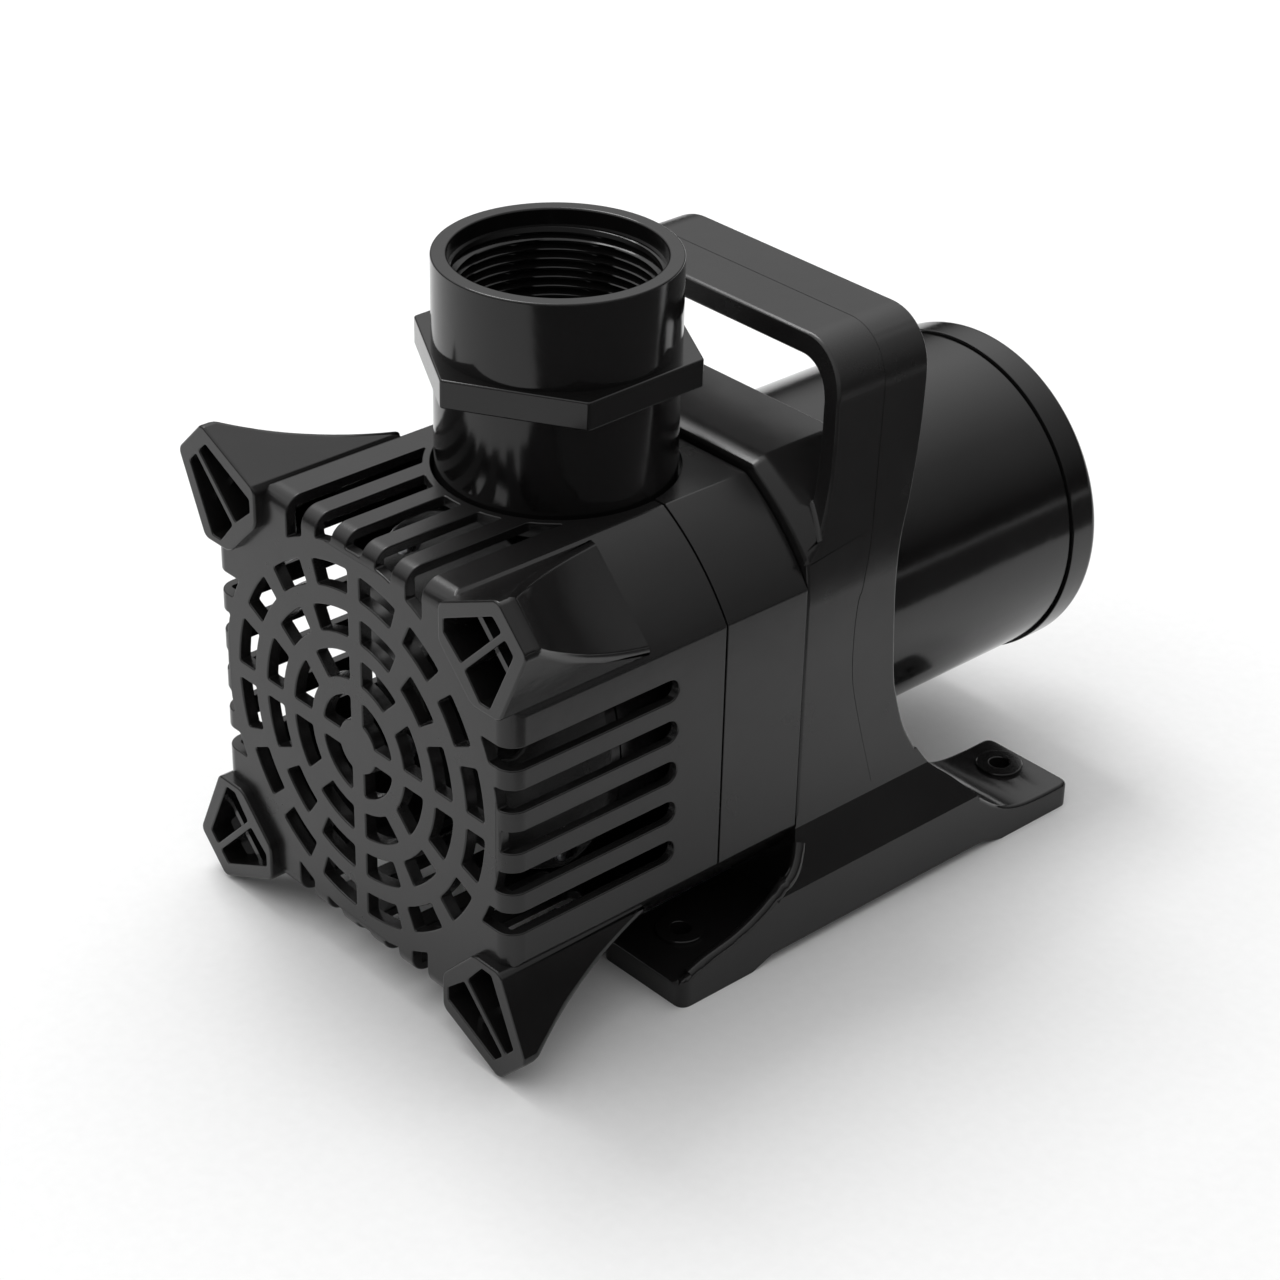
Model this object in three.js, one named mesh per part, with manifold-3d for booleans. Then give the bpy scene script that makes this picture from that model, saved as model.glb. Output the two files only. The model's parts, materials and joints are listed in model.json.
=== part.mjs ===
// Fountain submersible pump: a square strainer cage around the volute, a wet-rotor
// motor behind it, one bracket that is carrying handle and stand, and a screwed-in
// outlet adapter on top. Millimetres, +Z up. The strainer's grille faces -Y.
//
// Pieces are drawn in the pump's own frame, with Y along the shaft axis and y = 0 on the
// grille's face. The last lines stand the pump on its feet, centred over the origin.

import * as THREE from 'three';
import { mergeVertices } from 'three/addons/utils/BufferGeometryUtils.js';
import Module from 'manifold-3d';

const wasm = await Module();
wasm.setup();

// ---------------------------------------------------------------- driving dimensions
const GAP = 0.3;                 // clearance between touching pieces
const HALF = 54.8;               // half width of the square body
const CORNER_R = 63.8;           // body corners are arcs of this radius about the axis
const WALL = 2.6;                // cage wall
const FACE = 3;                  // grille thickness
const EDGE_R = 4.8;              // rounded front edge of the cage

const SEAM_Y = 64.8;             // strainer meets rear cage
const BRACKET_Y = 90.5;          // rear cage meets bracket
const RING_END_Y = 117;          // back edge of the bracket's ring
const CAP_Y = 199;               // motor housing meets its end cap
const CAP_END_Y = 208.8;

const OUTLET_Y = 60.2;           // outlet's vertical axis
const OUTLET_R = 28.9;           // outlet collar outside
const OUTLET_TOP = 107.5;        // above the shaft axis
const HEX_BOTTOM = 79.3;
const HEX_TOP = 86.4;
const HEX_CORNER_R = 35;
const THREAD_R = 24.4;           // mean radius of the 1 1/2 inch pipe thread
const NECK_R = 17.5;             // discharge bore

const SLOT_PITCH = 10.95;
const SLOT_W = 5.6;
const SLOT_END_Y = 50;
const SLOT_INNER_R = 51.3;       // slots stop on this circle of the grille
const TOP_SLOT_R = 31.4;         // top slots stop on this circle round the outlet

const HORN_PROUD = 2.5;          // horns stand forward of the grille
const HORN_TIP_D = 82.9;         // tip's distance from the axis, along the diagonal
const HORN_END_Y = 40.6;         // where a horn runs out into the body corner

const FOOT_Z = -63.8;            // underside of the feet, below the shaft axis
const FOOT_IN_X = 33;
const FOOT_OUT_X = 61.8;
const FOOT_FRONT_Y = 47.5;
const FOOT_BACK_Y = 186;
const PAD_Z = -57;               // top of the foot pads
const HANDLE_TOP = 85;
const HANDLE_T = 5;              // handle band thickness
const HANDLE_R = 15.5;           // handle's outer corner radius
const HANDLE_TURN_X = 32.4;      // centre of the handle's corner curves
const HANDLE_LEAN = 10.55;       // degrees the legs lean inward above the ring
const HANDLE_LEAN_Z = 34;

const MOTOR_R = 43.8;
const CAP_R = 44.6;
const SHAFT_R = 4;
const SHAFT_FIT = 0.05;          // between the shaft and what is fixed to it
const BUSH_FIT = 0.12;           // between the shaft and its bushes
const ROTOR_R = 15;
const CAN_R = 17.2;
const IMPELLER_R = 31;
const GLAND_END_Y = 222;

// ---------------------------------------------------------------- shape helpers
const ALONG_Y = new THREE.Matrix4().makeRotationX(Math.PI / 2);
const ALONG_X = new THREE.Matrix4().makeBasis(
  new THREE.Vector3(0, 1, 0), new THREE.Vector3(0, 0, 1), new THREE.Vector3(1, 0, 0));
const ALONG_TANGENT = new THREE.Matrix4().makeBasis(
  new THREE.Vector3(Math.SQRT1_2, 0, Math.SQRT1_2), new THREE.Vector3(0, 1, 0),
  new THREE.Vector3(-Math.SQRT1_2, 0, Math.SQRT1_2));

function polygon(points) {
  return new THREE.Shape(points.map(([u, v]) => new THREE.Vector2(u, v)));
}

function arc(cx, cy, r, from, to, steps) {
  const points = [];
  for (let i = 0; i <= steps; i += 1) {
    const t = THREE.MathUtils.degToRad(from + (to - from) * i / steps);
    points.push([cx + r * Math.cos(t), cy + r * Math.sin(t)]);
  }
  return points;
}

function signedVolume(position, index) {
  const a = new THREE.Vector3();
  const b = new THREE.Vector3();
  const c = new THREE.Vector3();
  let volume = 0;
  for (let i = 0; i < index.count; i += 3) {
    a.fromBufferAttribute(position, index.getX(i));
    b.fromBufferAttribute(position, index.getX(i + 1));
    c.fromBufferAttribute(position, index.getX(i + 2));
    volume += a.dot(b.cross(c)) / 6;
  }
  return volume;
}

// A closed three.js geometry becomes a solid whose faces point outwards.
function solid(geometry) {
  const bare = geometry.clone();
  bare.deleteAttribute('normal');
  bare.deleteAttribute('uv');
  const merged = mergeVertices(bare, 1e-4);
  const { position } = merged.attributes;
  const corners = [];
  for (let i = 0; i < merged.index.count; i += 3) {
    const [p, q, r] = [0, 1, 2].map((k) => merged.index.getX(i + k));
    if (p !== q && q !== r && r !== p) {
      corners.push(p, q, r);
    }
  }
  if (signedVolume(position, merged.index) < 0) {
    corners.reverse();
  }
  const vertProperties = new Float32Array(position.array);
  const triVerts = new Uint32Array(corners);
  return new wasm.Manifold(new wasm.Mesh({ numProp: 3, vertProperties, triVerts }));
}

function geometryOf(manifold) {
  const mesh = manifold.getMesh();
  const geometry = new THREE.BufferGeometry();
  geometry.setAttribute('position', new THREE.BufferAttribute(new Float32Array(mesh.vertProperties), 3));
  geometry.setIndex(new THREE.BufferAttribute(new Uint32Array(mesh.triVerts), 1));
  return geometry;
}

// (x, z) outline, from y0 to y1
function alongY(shape, y0, y1) {
  const geometry = new THREE.ExtrudeGeometry(shape, { depth: y1 - y0, bevelEnabled: false });
  geometry.applyMatrix4(ALONG_Y);
  geometry.translate(0, y1, 0);
  return solid(geometry);
}

// (y, z) outline, from x0 to x1
function alongX(shape, x0, x1) {
  const geometry = new THREE.ExtrudeGeometry(shape, { depth: x1 - x0, bevelEnabled: false });
  geometry.applyMatrix4(ALONG_X);
  geometry.translate(x0, 0, 0);
  return solid(geometry);
}

// (x, y) outline, from z0 to z1
function alongZ(shape, z0, z1) {
  const geometry = new THREE.ExtrudeGeometry(shape, { depth: z1 - z0, bevelEnabled: false });
  geometry.translate(0, 0, z0);
  return solid(geometry);
}

// (distance along the corner diagonal, y) outline, symmetric across the diagonal
function acrossCorner(shape, width, quarter) {
  const geometry = new THREE.ExtrudeGeometry(shape, { depth: width, bevelEnabled: false });
  geometry.translate(0, 0, -width / 2);
  geometry.applyMatrix4(ALONG_TANGENT);
  geometry.rotateY(quarter * Math.PI / 2);
  return solid(geometry);
}

function latheGeometry(profile, steps) {
  const points = profile.map(([r, y]) => new THREE.Vector2(r, y));
  const onAxis = profile[0][0] === 0;
  if (!onAxis) {
    points.push(points[0].clone());
  }
  return new THREE.LatheGeometry(points, steps);
}

// (radius, y) profile turned about the shaft axis
function turned(profile, steps = 24) {
  return solid(latheGeometry(profile, steps));
}

// (radius, z) profile turned about the vertical line x, y
function turnedUp(profile, x, y, steps = 28) {
  const geometry = latheGeometry(profile, steps);
  geometry.rotateX(Math.PI / 2);
  geometry.translate(x, y, 0);
  return solid(geometry);
}

function rodY(r, y0, y1, x = 0, z = 0, steps = 12) {
  const geometry = new THREE.CylinderGeometry(r, r, y1 - y0, steps);
  geometry.translate(x, (y0 + y1) / 2, z);
  return solid(geometry);
}

function rodZ(r, z0, z1, x, y, steps = 12) {
  const geometry = new THREE.CylinderGeometry(r, r, z1 - z0, steps);
  geometry.rotateX(Math.PI / 2);
  geometry.translate(x, y, (z0 + z1) / 2);
  return solid(geometry);
}

function box(x0, x1, y0, y1, z0, z1) {
  const geometry = new THREE.BoxGeometry(x1 - x0, y1 - y0, z1 - z0);
  geometry.translate((x0 + x1) / 2, (y0 + y1) / 2, (z0 + z1) / 2);
  return solid(geometry);
}

function joined(solids) {
  return solids.reduce((all, piece) => all.add(piece));
}

function without(base, cutters) {
  return cutters.reduce((all, cutter) => all.subtract(cutter), base);
}

// Square section with flats at halfX and halfZ and corner arcs of radius r about the axis
function bodyOutline(halfX, halfZ, r, steps = 5) {
  const side = THREE.MathUtils.radToDeg(Math.acos(halfX / r));
  const top = THREE.MathUtils.radToDeg(Math.asin(halfZ / r));
  const points = [
    ...arc(0, 0, r, side, top, steps),
    ...arc(0, 0, r, 180 - top, 180 - side, steps),
    ...arc(0, 0, r, 180 + side, 180 + top, steps),
    ...arc(0, 0, r, 360 - top, 360 - side, steps),
  ];
  return polygon(points);
}

function inset(distance) {
  return bodyOutline(HALF - distance, HALF - distance, CORNER_R - distance);
}

// ---------------------------------------------------------------- materials
const BLACK_PLASTIC = { color: 0x1d1d1f, roughness: 0.42, metalness: 0 };
const GLOSS_PLASTIC = { color: 0x151517, roughness: 0.25, metalness: 0 };
const WHITE_PLASTIC = { color: 0xd9d6cc, roughness: 0.5, metalness: 0 };
const RUBBER = { color: 0x111111, roughness: 0.85, metalness: 0 };
const STEEL = { color: 0xb9bcc0, roughness: 0.3, metalness: 1 };
const IRON = { color: 0x6b6e72, roughness: 0.5, metalness: 1 };
const COPPER = { color: 0xb06a3b, roughness: 0.4, metalness: 1 };
const CERAMIC = { color: 0xe8e6df, roughness: 0.2, metalness: 0 };
const FERRITE = { color: 0x3a3a3d, roughness: 0.6, metalness: 0.2 };
const RESIN = { color: 0x2a2622, roughness: 0.5, metalness: 0 };

const pump = new THREE.Group();

function piece(name, manifold, finish) {
  const mesh = new THREE.Mesh(geometryOf(manifold), new THREE.MeshStandardMaterial(finish));
  mesh.name = name;
  pump.add(mesh);
  return mesh;
}

// ---------------------------------------------------------------- strainer cage
// The grille is four rings of holes. Angles run from +X; 'bar' marks an edge along
// one of the straight bars, on the axes or, in the second ring, on the diagonal.
const BAR = 2.3;
const DIAGONAL_BAR = 3;
const RINGS = [
  { inner: 6.9, outer: 12.9, holes: [['bar', 'bar']] },
  { inner: 17.5, outer: 24.1, holes: [['bar', 'diagonal']] },
  { inner: 28.7, outer: 34.9, holes: [['bar', 25.7], [35.5, 54.5]] },
  { inner: 39.9, outer: 46, holes: [['bar', 19.3], [26.2, 41.3]] },
];

function edgeAngle(edge, r, isEnd) {
  const lean = THREE.MathUtils.radToDeg(Math.asin(BAR / r));
  if (edge === 'bar') {
    return isEnd ? 90 - lean : lean;
  }
  if (edge === 'diagonal') {
    return 45 - THREE.MathUtils.radToDeg(Math.asin(DIAGONAL_BAR / r));
  }
  return edge;
}

function holeOutline(ring, [start, end], mirrored) {
  const steps = 2;
  const outer = arc(0, 0, ring.outer,
    edgeAngle(start, ring.outer, false), edgeAngle(end, ring.outer, true), steps);
  const inner = arc(0, 0, ring.inner,
    edgeAngle(end, ring.inner, true), edgeAngle(start, ring.inner, false), steps);
  const points = [...outer, ...inner];
  return mirrored ? points.map(([u, v]) => [v, u]) : points;
}

function turnQuarter([u, v], quarter) {
  const turns = [[u, v], [-v, u], [-u, -v], [v, -u]];
  return turns[quarter];
}

function grilleHoles() {
  const outlines = [];
  for (const ring of RINGS) {
    for (const hole of ring.holes) {
      outlines.push(holeOutline(ring, hole, false));
      const symmetric = hole[0] === hole[1] || hole[0] + hole[1] === 90;
      if (!symmetric) {
        outlines.push(holeOutline(ring, hole, true));
      }
    }
  }
  const cutters = [];
  for (let quarter = 0; quarter < 4; quarter += 1) {
    for (const outline of outlines) {
      const shape = polygon(outline.map((point) => turnQuarter(point, quarter)));
      cutters.push(alongY(shape, -1, FACE + 1));
    }
  }
  return cutters;
}

// Five slots on each side. They wrap over the front edge onto the grille, where they
// stop on a circle. On top, the outlet's base cuts them short.
const SLOT_BACK_INSET = SLOT_W / 2;
const WALL_REACH = 20;

function sideSlots() {
  const cutters = [];
  for (let side = 0; side < 4; side += 1) {
    for (let k = -2; k <= 2; k += 1) {
      const middle = k * SLOT_PITCH;
      const end = arc(SLOT_END_Y - SLOT_BACK_INSET, middle, SLOT_W / 2, -90, 90, 4);
      const outline = polygon([...end, [-1, middle + SLOT_W / 2], [-1, middle - SLOT_W / 2]]);
      const isTop = side === 3;
      const shape = new THREE.ExtrudeGeometry(outline, { depth: WALL_REACH, bevelEnabled: false });
      shape.applyMatrix4(ALONG_X);
      shape.translate(HALF + 1 - WALL_REACH, 0, 0);
      shape.rotateY(side * Math.PI / 2);
      let slot = solid(shape).subtract(rodY(SLOT_INNER_R, -2, FACE, 0, 0, 48));
      if (isTop) {
        slot = slot.subtract(rodZ(TOP_SLOT_R, 0, 2 * HALF, 0, OUTLET_Y, 40));
      }
      cutters.push(slot);
    }
  }
  return cutters;
}

const OUTLET_HOLE_R = OUTLET_R + 0.5;

function outletHole() {
  return rodZ(OUTLET_HOLE_R, HALF / 2, 2 * HALF, 0, OUTLET_Y, 40);
}

function outletNotch() {
  const open = box(-OUTLET_HOLE_R, OUTLET_HOLE_R, OUTLET_Y, SEAM_Y + 1, HALF / 2, 2 * HALF);
  return outletHole().add(open);
}

// Horn section, in the corner x > 0, z > 0. Its flared sides start on the body's creases.
const HORN_OUTLINE = [
  [33.4, 54.3], [53.7, 63.5], [63.5, 53.7], [54.3, 33.4], [44.6, 33.4], [33.4, 44.6],
];
const WINDOW_OUTLINE = [
  [35.5, 51], [52.1, 58.8], [54.9, 56.2], [41.4, 42.7], [35.5, 47.7],
];

// The horn's back sweeps in a hollow curve from its thin tip down to the body corner.
function hornSweep() {
  const curve = new THREE.QuadraticBezierCurve(
    new THREE.Vector2(HORN_TIP_D, 1.6),
    new THREE.Vector2(70.2, 17.5),
    new THREE.Vector2(CORNER_R, HORN_END_Y));
  const back = curve.getPoints(6).map((point) => [point.x, point.y]);
  return polygon([[50, -HORN_PROUD], [HORN_TIP_D - 1.5, -HORN_PROUD], [HORN_TIP_D, 1 - HORN_PROUD],
    ...back, [50, HORN_END_Y]]);
}

function horn(quarter) {
  const outline = HORN_OUTLINE.map((point) => turnQuarter(point, (4 - quarter) % 4));
  const prism = alongY(polygon(outline), -HORN_PROUD, HORN_END_Y);
  return prism.intersect(acrossCorner(hornSweep(), 60, quarter));
}

// Two windows open into a pocket in each horn, which a cross rib divides further in.
function hornPocket(quarter) {
  const depth = 20;
  const mirrored = WINDOW_OUTLINE.map(([u, v]) => [v, u]);
  const windows = [WINDOW_OUTLINE, mirrored].map((outline) => {
    const placed = outline.map((point) => turnQuarter(point, (4 - quarter) % 4));
    return alongY(polygon(placed), -HORN_PROUD - 1, depth);
  });
  const pocket = polygon([[56, -4], [78.8, -4], [78.8, 2.5], [66.5, 15], [56, 12.5]]);
  const rib = polygon([[68.2, 1], [69.8, 1], [69.8, depth], [68.2, depth]]);
  return joined(windows)
    .intersect(acrossCorner(pocket, 60, quarter))
    .subtract(acrossCorner(rib, 60, quarter));
}

function roundedFront(outlineAlong) {
  const far = SEAM_Y + 10;
  const points = [
    [far, -HALF], ...arc(EDGE_R, -HALF + EDGE_R, EDGE_R, 270, 180, 4),
    ...arc(EDGE_R, HALF - EDGE_R, EDGE_R, 180, 90, 4), [far, HALF],
  ];
  return outlineAlong(points);
}

function strainerCage() {
  const rounding = roundedFront((points) => alongX(polygon(points), -HALF - 1, HALF + 1));
  const sideRounding = roundedFront(
    (points) => alongZ(polygon(points.map(([y, x]) => [x, y])), -HALF - 1, HALF + 1));
  const block = alongY(inset(0), 0, SEAM_Y - GAP).intersect(rounding).intersect(sideRounding);
  const quarters = [0, 1, 2, 3];
  const cornerFill = 57.5;
  const frontCavity = alongY(bodyOutline(HALF - WALL, HALF - WALL, cornerFill), FACE, 17);
  const cavity = alongY(inset(WALL), 16, SEAM_Y + 1);
  const shell = without(joined([block, ...quarters.map(horn)]), [frontCavity, cavity]);
  return without(shell, [...grilleHoles(), ...sideSlots(), ...quarters.map(hornPocket), outletNotch()]);
}

piece('strainer_cage', strainerCage(), BLACK_PLASTIC);

// ---------------------------------------------------------------- rear cage
const LIP_Y = 61;
const REAR_PLATE_Y = 81;
const FLANGE_Y = 84.3;
const FLANGE_R = 50;
const BRACKET_SCREW_AT = 40.5;
const CORNERS = [[1, 1], [-1, 1], [-1, -1], [1, -1]];

function rearCage() {
  const shell = alongY(inset(0), SEAM_Y, BRACKET_Y - GAP);
  const lip = alongY(inset(WALL + GAP), LIP_Y, SEAM_Y + 1);
  const cavity = alongY(inset(WALL + GAP + 1.8), LIP_Y - 1, REAR_PLATE_Y);
  const bores = [
    rodY(FLANGE_R - 2, REAR_PLATE_Y - 1, FLANGE_Y, 0, 0, 32),
    rodY(FLANGE_R + 2 * GAP, FLANGE_Y - GAP, BRACKET_Y, 0, 0, 32),
  ];
  const pilots = CORNERS.map(([sx, sz]) => rodY(1.7, REAR_PLATE_Y - 1, BRACKET_Y,
    sx * BRACKET_SCREW_AT, sz * BRACKET_SCREW_AT, 12));
  return without(shell.add(lip), [cavity, ...bores, ...pilots, outletHole()]);
}

piece('rear_cage', rearCage(), BLACK_PLASTIC);

// ---------------------------------------------------------------- bracket
// The bracket's outline seen from the side, as (y, z): handle, side plate and foot.
const HANDLE_FRONT = [
  [108.5, HANDLE_TOP], [104.9, 73.9], [102.5, 63], [99.5, 53], [93.9, 40.4], [BRACKET_Y, 32.6],
];
const HANDLE_BACK = [
  [122.4, -3], [121.2, 12], [120.8, 26], [122.2, 35.8], [126.6, 46.7], [131, 59.4], [134.4, 72.1],
  [137.3, HANDLE_TOP],
];
const PLATE_BACK = [[131.5, -27], [127, -19], [124, -10]];
const SLOPE_TOP_Z = -34;
const SLOPE_LOW_Z = -46;
const SKIRT_BACK = [[137, SLOPE_TOP_Z], [143, -39.2], [149.4, SLOPE_LOW_Z]];
const SKIN = 3;

function handleAndPlates() {
  const low = SLOPE_TOP_Z + 2;
  const bend = HANDLE_TOP - HANDLE_R;
  const inner = HALF - HANDLE_T;
  const arch = polygon([
    [HALF, low], [HALF, HANDLE_LEAN_Z], ...arc(HANDLE_TURN_X, bend, HANDLE_R, HANDLE_LEAN, 90, 6),
    ...arc(-HANDLE_TURN_X, bend, HANDLE_R, 90, 180 - HANDLE_LEAN, 6), [-HALF, HANDLE_LEAN_Z], [-HALF, low],
    [-inner, low], [-inner, HANDLE_LEAN_Z],
    ...arc(-HANDLE_TURN_X, bend, HANDLE_R - HANDLE_T, 180 - HANDLE_LEAN, 90, 6),
    ...arc(HANDLE_TURN_X, bend, HANDLE_R - HANDLE_T, 90, HANDLE_LEAN, 6), [inner, HANDLE_LEAN_Z], [inner, low],
  ]);
  const sideView = polygon([[BRACKET_Y, low - 1], [135.8, low - 1], ...PLATE_BACK,
    ...HANDLE_BACK, ...HANDLE_FRONT]);
  return alongY(arch, BRACKET_Y - 1, 150).intersect(alongX(sideView, -HALF - 1, HALF + 1));
}

const RING_HALF = 56.6;
const RING_R = 66.2;
const RING_CHAMFER = 2.1;
const RING_CHAMFER_LENGTH = 4.5;

function bracketRing() {
  const geometry = new THREE.ExtrudeGeometry(bodyOutline(RING_HALF, RING_HALF, RING_R), {
    depth: 40,
    bevelEnabled: true,
    bevelThickness: RING_CHAMFER_LENGTH,
    bevelSize: RING_CHAMFER,
    bevelSegments: 1,
  });
  geometry.applyMatrix4(ALONG_Y);
  geometry.translate(0, BRACKET_Y + RING_CHAMFER_LENGTH + 40, 0);
  const limit = box(-HALF, HALF, BRACKET_Y, RING_END_Y, -70, 70);
  const ring = solid(geometry).intersect(limit);
  const sleeve = rodY(MOTOR_R + 0.5 + SKIN, BRACKET_Y, RING_END_Y + 1, 0, 0, 40);
  const ribs = [22.5, 67.5, 112.5, 157.5].map((degrees) => {
    const rib = new THREE.BoxGeometry(150, 40, 2.2);
    rib.rotateY(THREE.MathUtils.degToRad(degrees));
    rib.translate(0, RING_END_Y - 22, 0);
    return solid(rib);
  });
  const hollow = alongY(bodyOutline(HALF - SKIN, RING_HALF - 1, RING_R - 1.6),
    BRACKET_Y + 3.5, RING_END_Y + 1);
  return ring.subtract(without(hollow, [sleeve, ...ribs]));
}

const FOOT_TOP_EDGE = [
  [FOOT_FRONT_Y, PAD_Z], [53, -53.4], [60, -51.4], [67, -50.4], [74, -48.4], [81.4, SLOPE_LOW_Z],
  [149.4, SLOPE_LOW_Z], [154.5, -50], [160, -53.2], [167, -55.4], [176, -56.4], [FOOT_BACK_Y, PAD_Z],
];
const UNDERSIDE = [
  [FOOT_BACK_Y, FOOT_Z], [160, FOOT_Z], [152.5, FOOT_Z + 2.4], [77.4, FOOT_Z + 2.4],
  [70.8, FOOT_Z], [FOOT_FRONT_Y, FOOT_Z],
];
const FOOT_HOLES_X = 44.5;
const FOOT_HOLES_Y = [62.7, 177.5];

function sideSpan(sign, shape, x0, x1) {
  return sign > 0 ? alongX(shape, x0, x1) : alongX(shape, -x1, -x0);
}

function foot(sign) {
  const mirror = (points) => polygon(points.map(([x, z]) => [sign * x, z]));
  const pad = sideSpan(sign, polygon([[FOOT_FRONT_Y, PAD_Z], [FOOT_BACK_Y, PAD_Z], ...UNDERSIDE]),
    FOOT_IN_X, FOOT_OUT_X);
  const rim = sideSpan(sign, polygon([...FOOT_TOP_EDGE, ...UNDERSIDE]), FOOT_OUT_X - SKIN, FOOT_OUT_X);
  const slope = [[HALF - HANDLE_T, -28], [HALF, -28], [HALF, SLOPE_TOP_Z], [FOOT_OUT_X, SLOPE_LOW_Z],
    [FOOT_OUT_X, PAD_Z - 1]];
  const skin = alongY(mirror([...slope, [FOOT_OUT_X - SKIN, PAD_Z - 1],
    [FOOT_OUT_X - SKIN, SLOPE_LOW_Z - 1], [HALF - HANDLE_T, SLOPE_TOP_Z - 1]]), 88, 150);
  const behind = sideSpan(sign, polygon([[87, -27], [131.5, -27], ...SKIRT_BACK, [154, -50],
    [154, -60], [87, -60]]), HALF - HANDLE_T - 1, FOOT_OUT_X + 1);
  const bulkheadOutline = mirror([...slope, [FOOT_IN_X, PAD_Z - 1], [FOOT_IN_X, SLOPE_TOP_Z]]);
  const bulkhead = alongY(bulkheadOutline, 87, BRACKET_Y + SKIN);
  const backStrip = [[134, SLOPE_TOP_Z], ...SKIRT_BACK, [154.5, -50], [160, -53.2], [168, PAD_Z], [168, PAD_Z - 1], [158, PAD_Z - 1], [146, -48]];
  const backWeb = sideSpan(sign, polygon(backStrip), FOOT_IN_X, FOOT_OUT_X)
    .intersect(alongY(bulkheadOutline, 130, 170));
  const whole = joined([pad, rim, skin.intersect(behind), bulkhead, backWeb]);
  const bosses = FOOT_HOLES_Y.map((y) => rodZ(6, PAD_Z - 1, PAD_Z + 1, sign * FOOT_HOLES_X, y, 20));
  const holes = FOOT_HOLES_Y.map((y) => rodZ(2.6, FOOT_Z - 1, PAD_Z + 2, sign * FOOT_HOLES_X, y, 16));
  return without(joined([whole, ...bosses]), holes);
}

function bracket() {
  const clearBody = alongY(bodyOutline(HALF + 0.4, HALF + 0.4, CORNER_R + 0.4), 30, BRACKET_Y);
  const motorBore = rodY(MOTOR_R + 0.5, BRACKET_Y - 1, 200, 0, 0, 40);
  const screwHoles = CORNERS.map(([sx, sz]) => rodY(2.2, BRACKET_Y - 1, BRACKET_Y + 5,
    sx * BRACKET_SCREW_AT, sz * BRACKET_SCREW_AT, 12));
  const whole = joined([bracketRing(), handleAndPlates(), foot(1), foot(-1)]);
  return without(whole, [clearBody, motorBore, ...screwHoles]);
}

piece('handle_and_stand', bracket(), BLACK_PLASTIC);

// ---------------------------------------------------------------- screws
function panScrew(r, headR, headHeight, length) {
  return turned([[0, -length], [r, -length], [r, 0], [headR, 0], [headR, headHeight * 0.6],
    [headR * 0.7, headHeight], [0, headHeight]], 10);
}

const bracketScrew = panScrew(1.4, 3.6, 2.6, 13);
CORNERS.forEach(([sx, sz], i) => {
  const screw = piece(`bracket_screw_${i + 1}`, bracketScrew, STEEL);
  screw.position.set(sx * BRACKET_SCREW_AT, BRACKET_Y + 3.5 + GAP, sz * BRACKET_SCREW_AT);
});

// ---------------------------------------------------------------- outlet adapter
const ADAPTER_BOTTOM = 49;
const SPIGOT_R = 20.6;            // adapter's spigot, in the volute's socket

function outletAdapter() {
  const outside = turnedUp([[0, HALF - 3], [OUTLET_R - 0.3, HALF - 3], [OUTLET_R - 0.3, HEX_BOTTOM + 1],
    [OUTLET_R, HEX_BOTTOM + 1], [OUTLET_R, OUTLET_TOP], [0, OUTLET_TOP]], 0, OUTLET_Y);
  const hexAngle = THREE.MathUtils.degToRad(1);
  const hex = new THREE.CylinderGeometry(HEX_CORNER_R, HEX_CORNER_R, HEX_TOP - HEX_BOTTOM, 6);
  hex.rotateX(Math.PI / 2);
  hex.rotateZ(hexAngle);
  hex.translate(0, OUTLET_Y, (HEX_TOP + HEX_BOTTOM) / 2);
  const spigot = rodZ(SPIGOT_R, ADAPTER_BOTTOM, HALF, 0, OUTLET_Y, 28);
  const bore = turnedUp([[0, ADAPTER_BOTTOM - 1], [NECK_R, ADAPTER_BOTTOM - 1], [NECK_R, 74],
    [THREAD_R - 1, 78], [THREAD_R, 78], [THREAD_R, OUTLET_TOP - 4], [THREAD_R + 0.3, OUTLET_TOP - 4],
    [THREAD_R + 0.3, OUTLET_TOP + 1], [0, OUTLET_TOP + 1]], 0, OUTLET_Y);
  const sealGroove = turnedUp([[SPIGOT_R - 1.2, 49.6], [SPIGOT_R + 1, 49.6], [SPIGOT_R + 1, 51.2],
    [SPIGOT_R - 1.2, 51.2]], 0, OUTLET_Y);
  return without(joined([outside, solid(hex), spigot]), [bore, sealGroove]);
}

piece('outlet_adapter', outletAdapter(), GLOSS_PLASTIC);

// ---------------------------------------------------------------- volute
const VOLUTE_R = 45.5;
const CHAMBER_R = 37;
const VOLUTE_FRONT_Y = 41.5;
const CHAMBER_BACK_Y = 74;
const VOLUTE_BACK_Y = 78;
const VOLUTE_SCREW_R = 41.2;
const SUCTION_R = 13.5;
const DIAGONALS = [45, 135, 225, 315];

function onCircle(r, degrees) {
  const t = THREE.MathUtils.degToRad(degrees);
  return [r * Math.cos(t), r * Math.sin(t)];
}

// The chamber's radius grows once round, from the tongue beside the discharge neck.
function spiralOutline() {
  const points = [];
  const steps = 28;
  for (let i = 0; i < steps; i += 1) {
    const [x, z] = onCircle(CHAMBER_R - 3.5 + 3.5 * i / steps, 110 + 360 * i / steps);
    points.push([x, z]);
  }
  return polygon(points);
}

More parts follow.
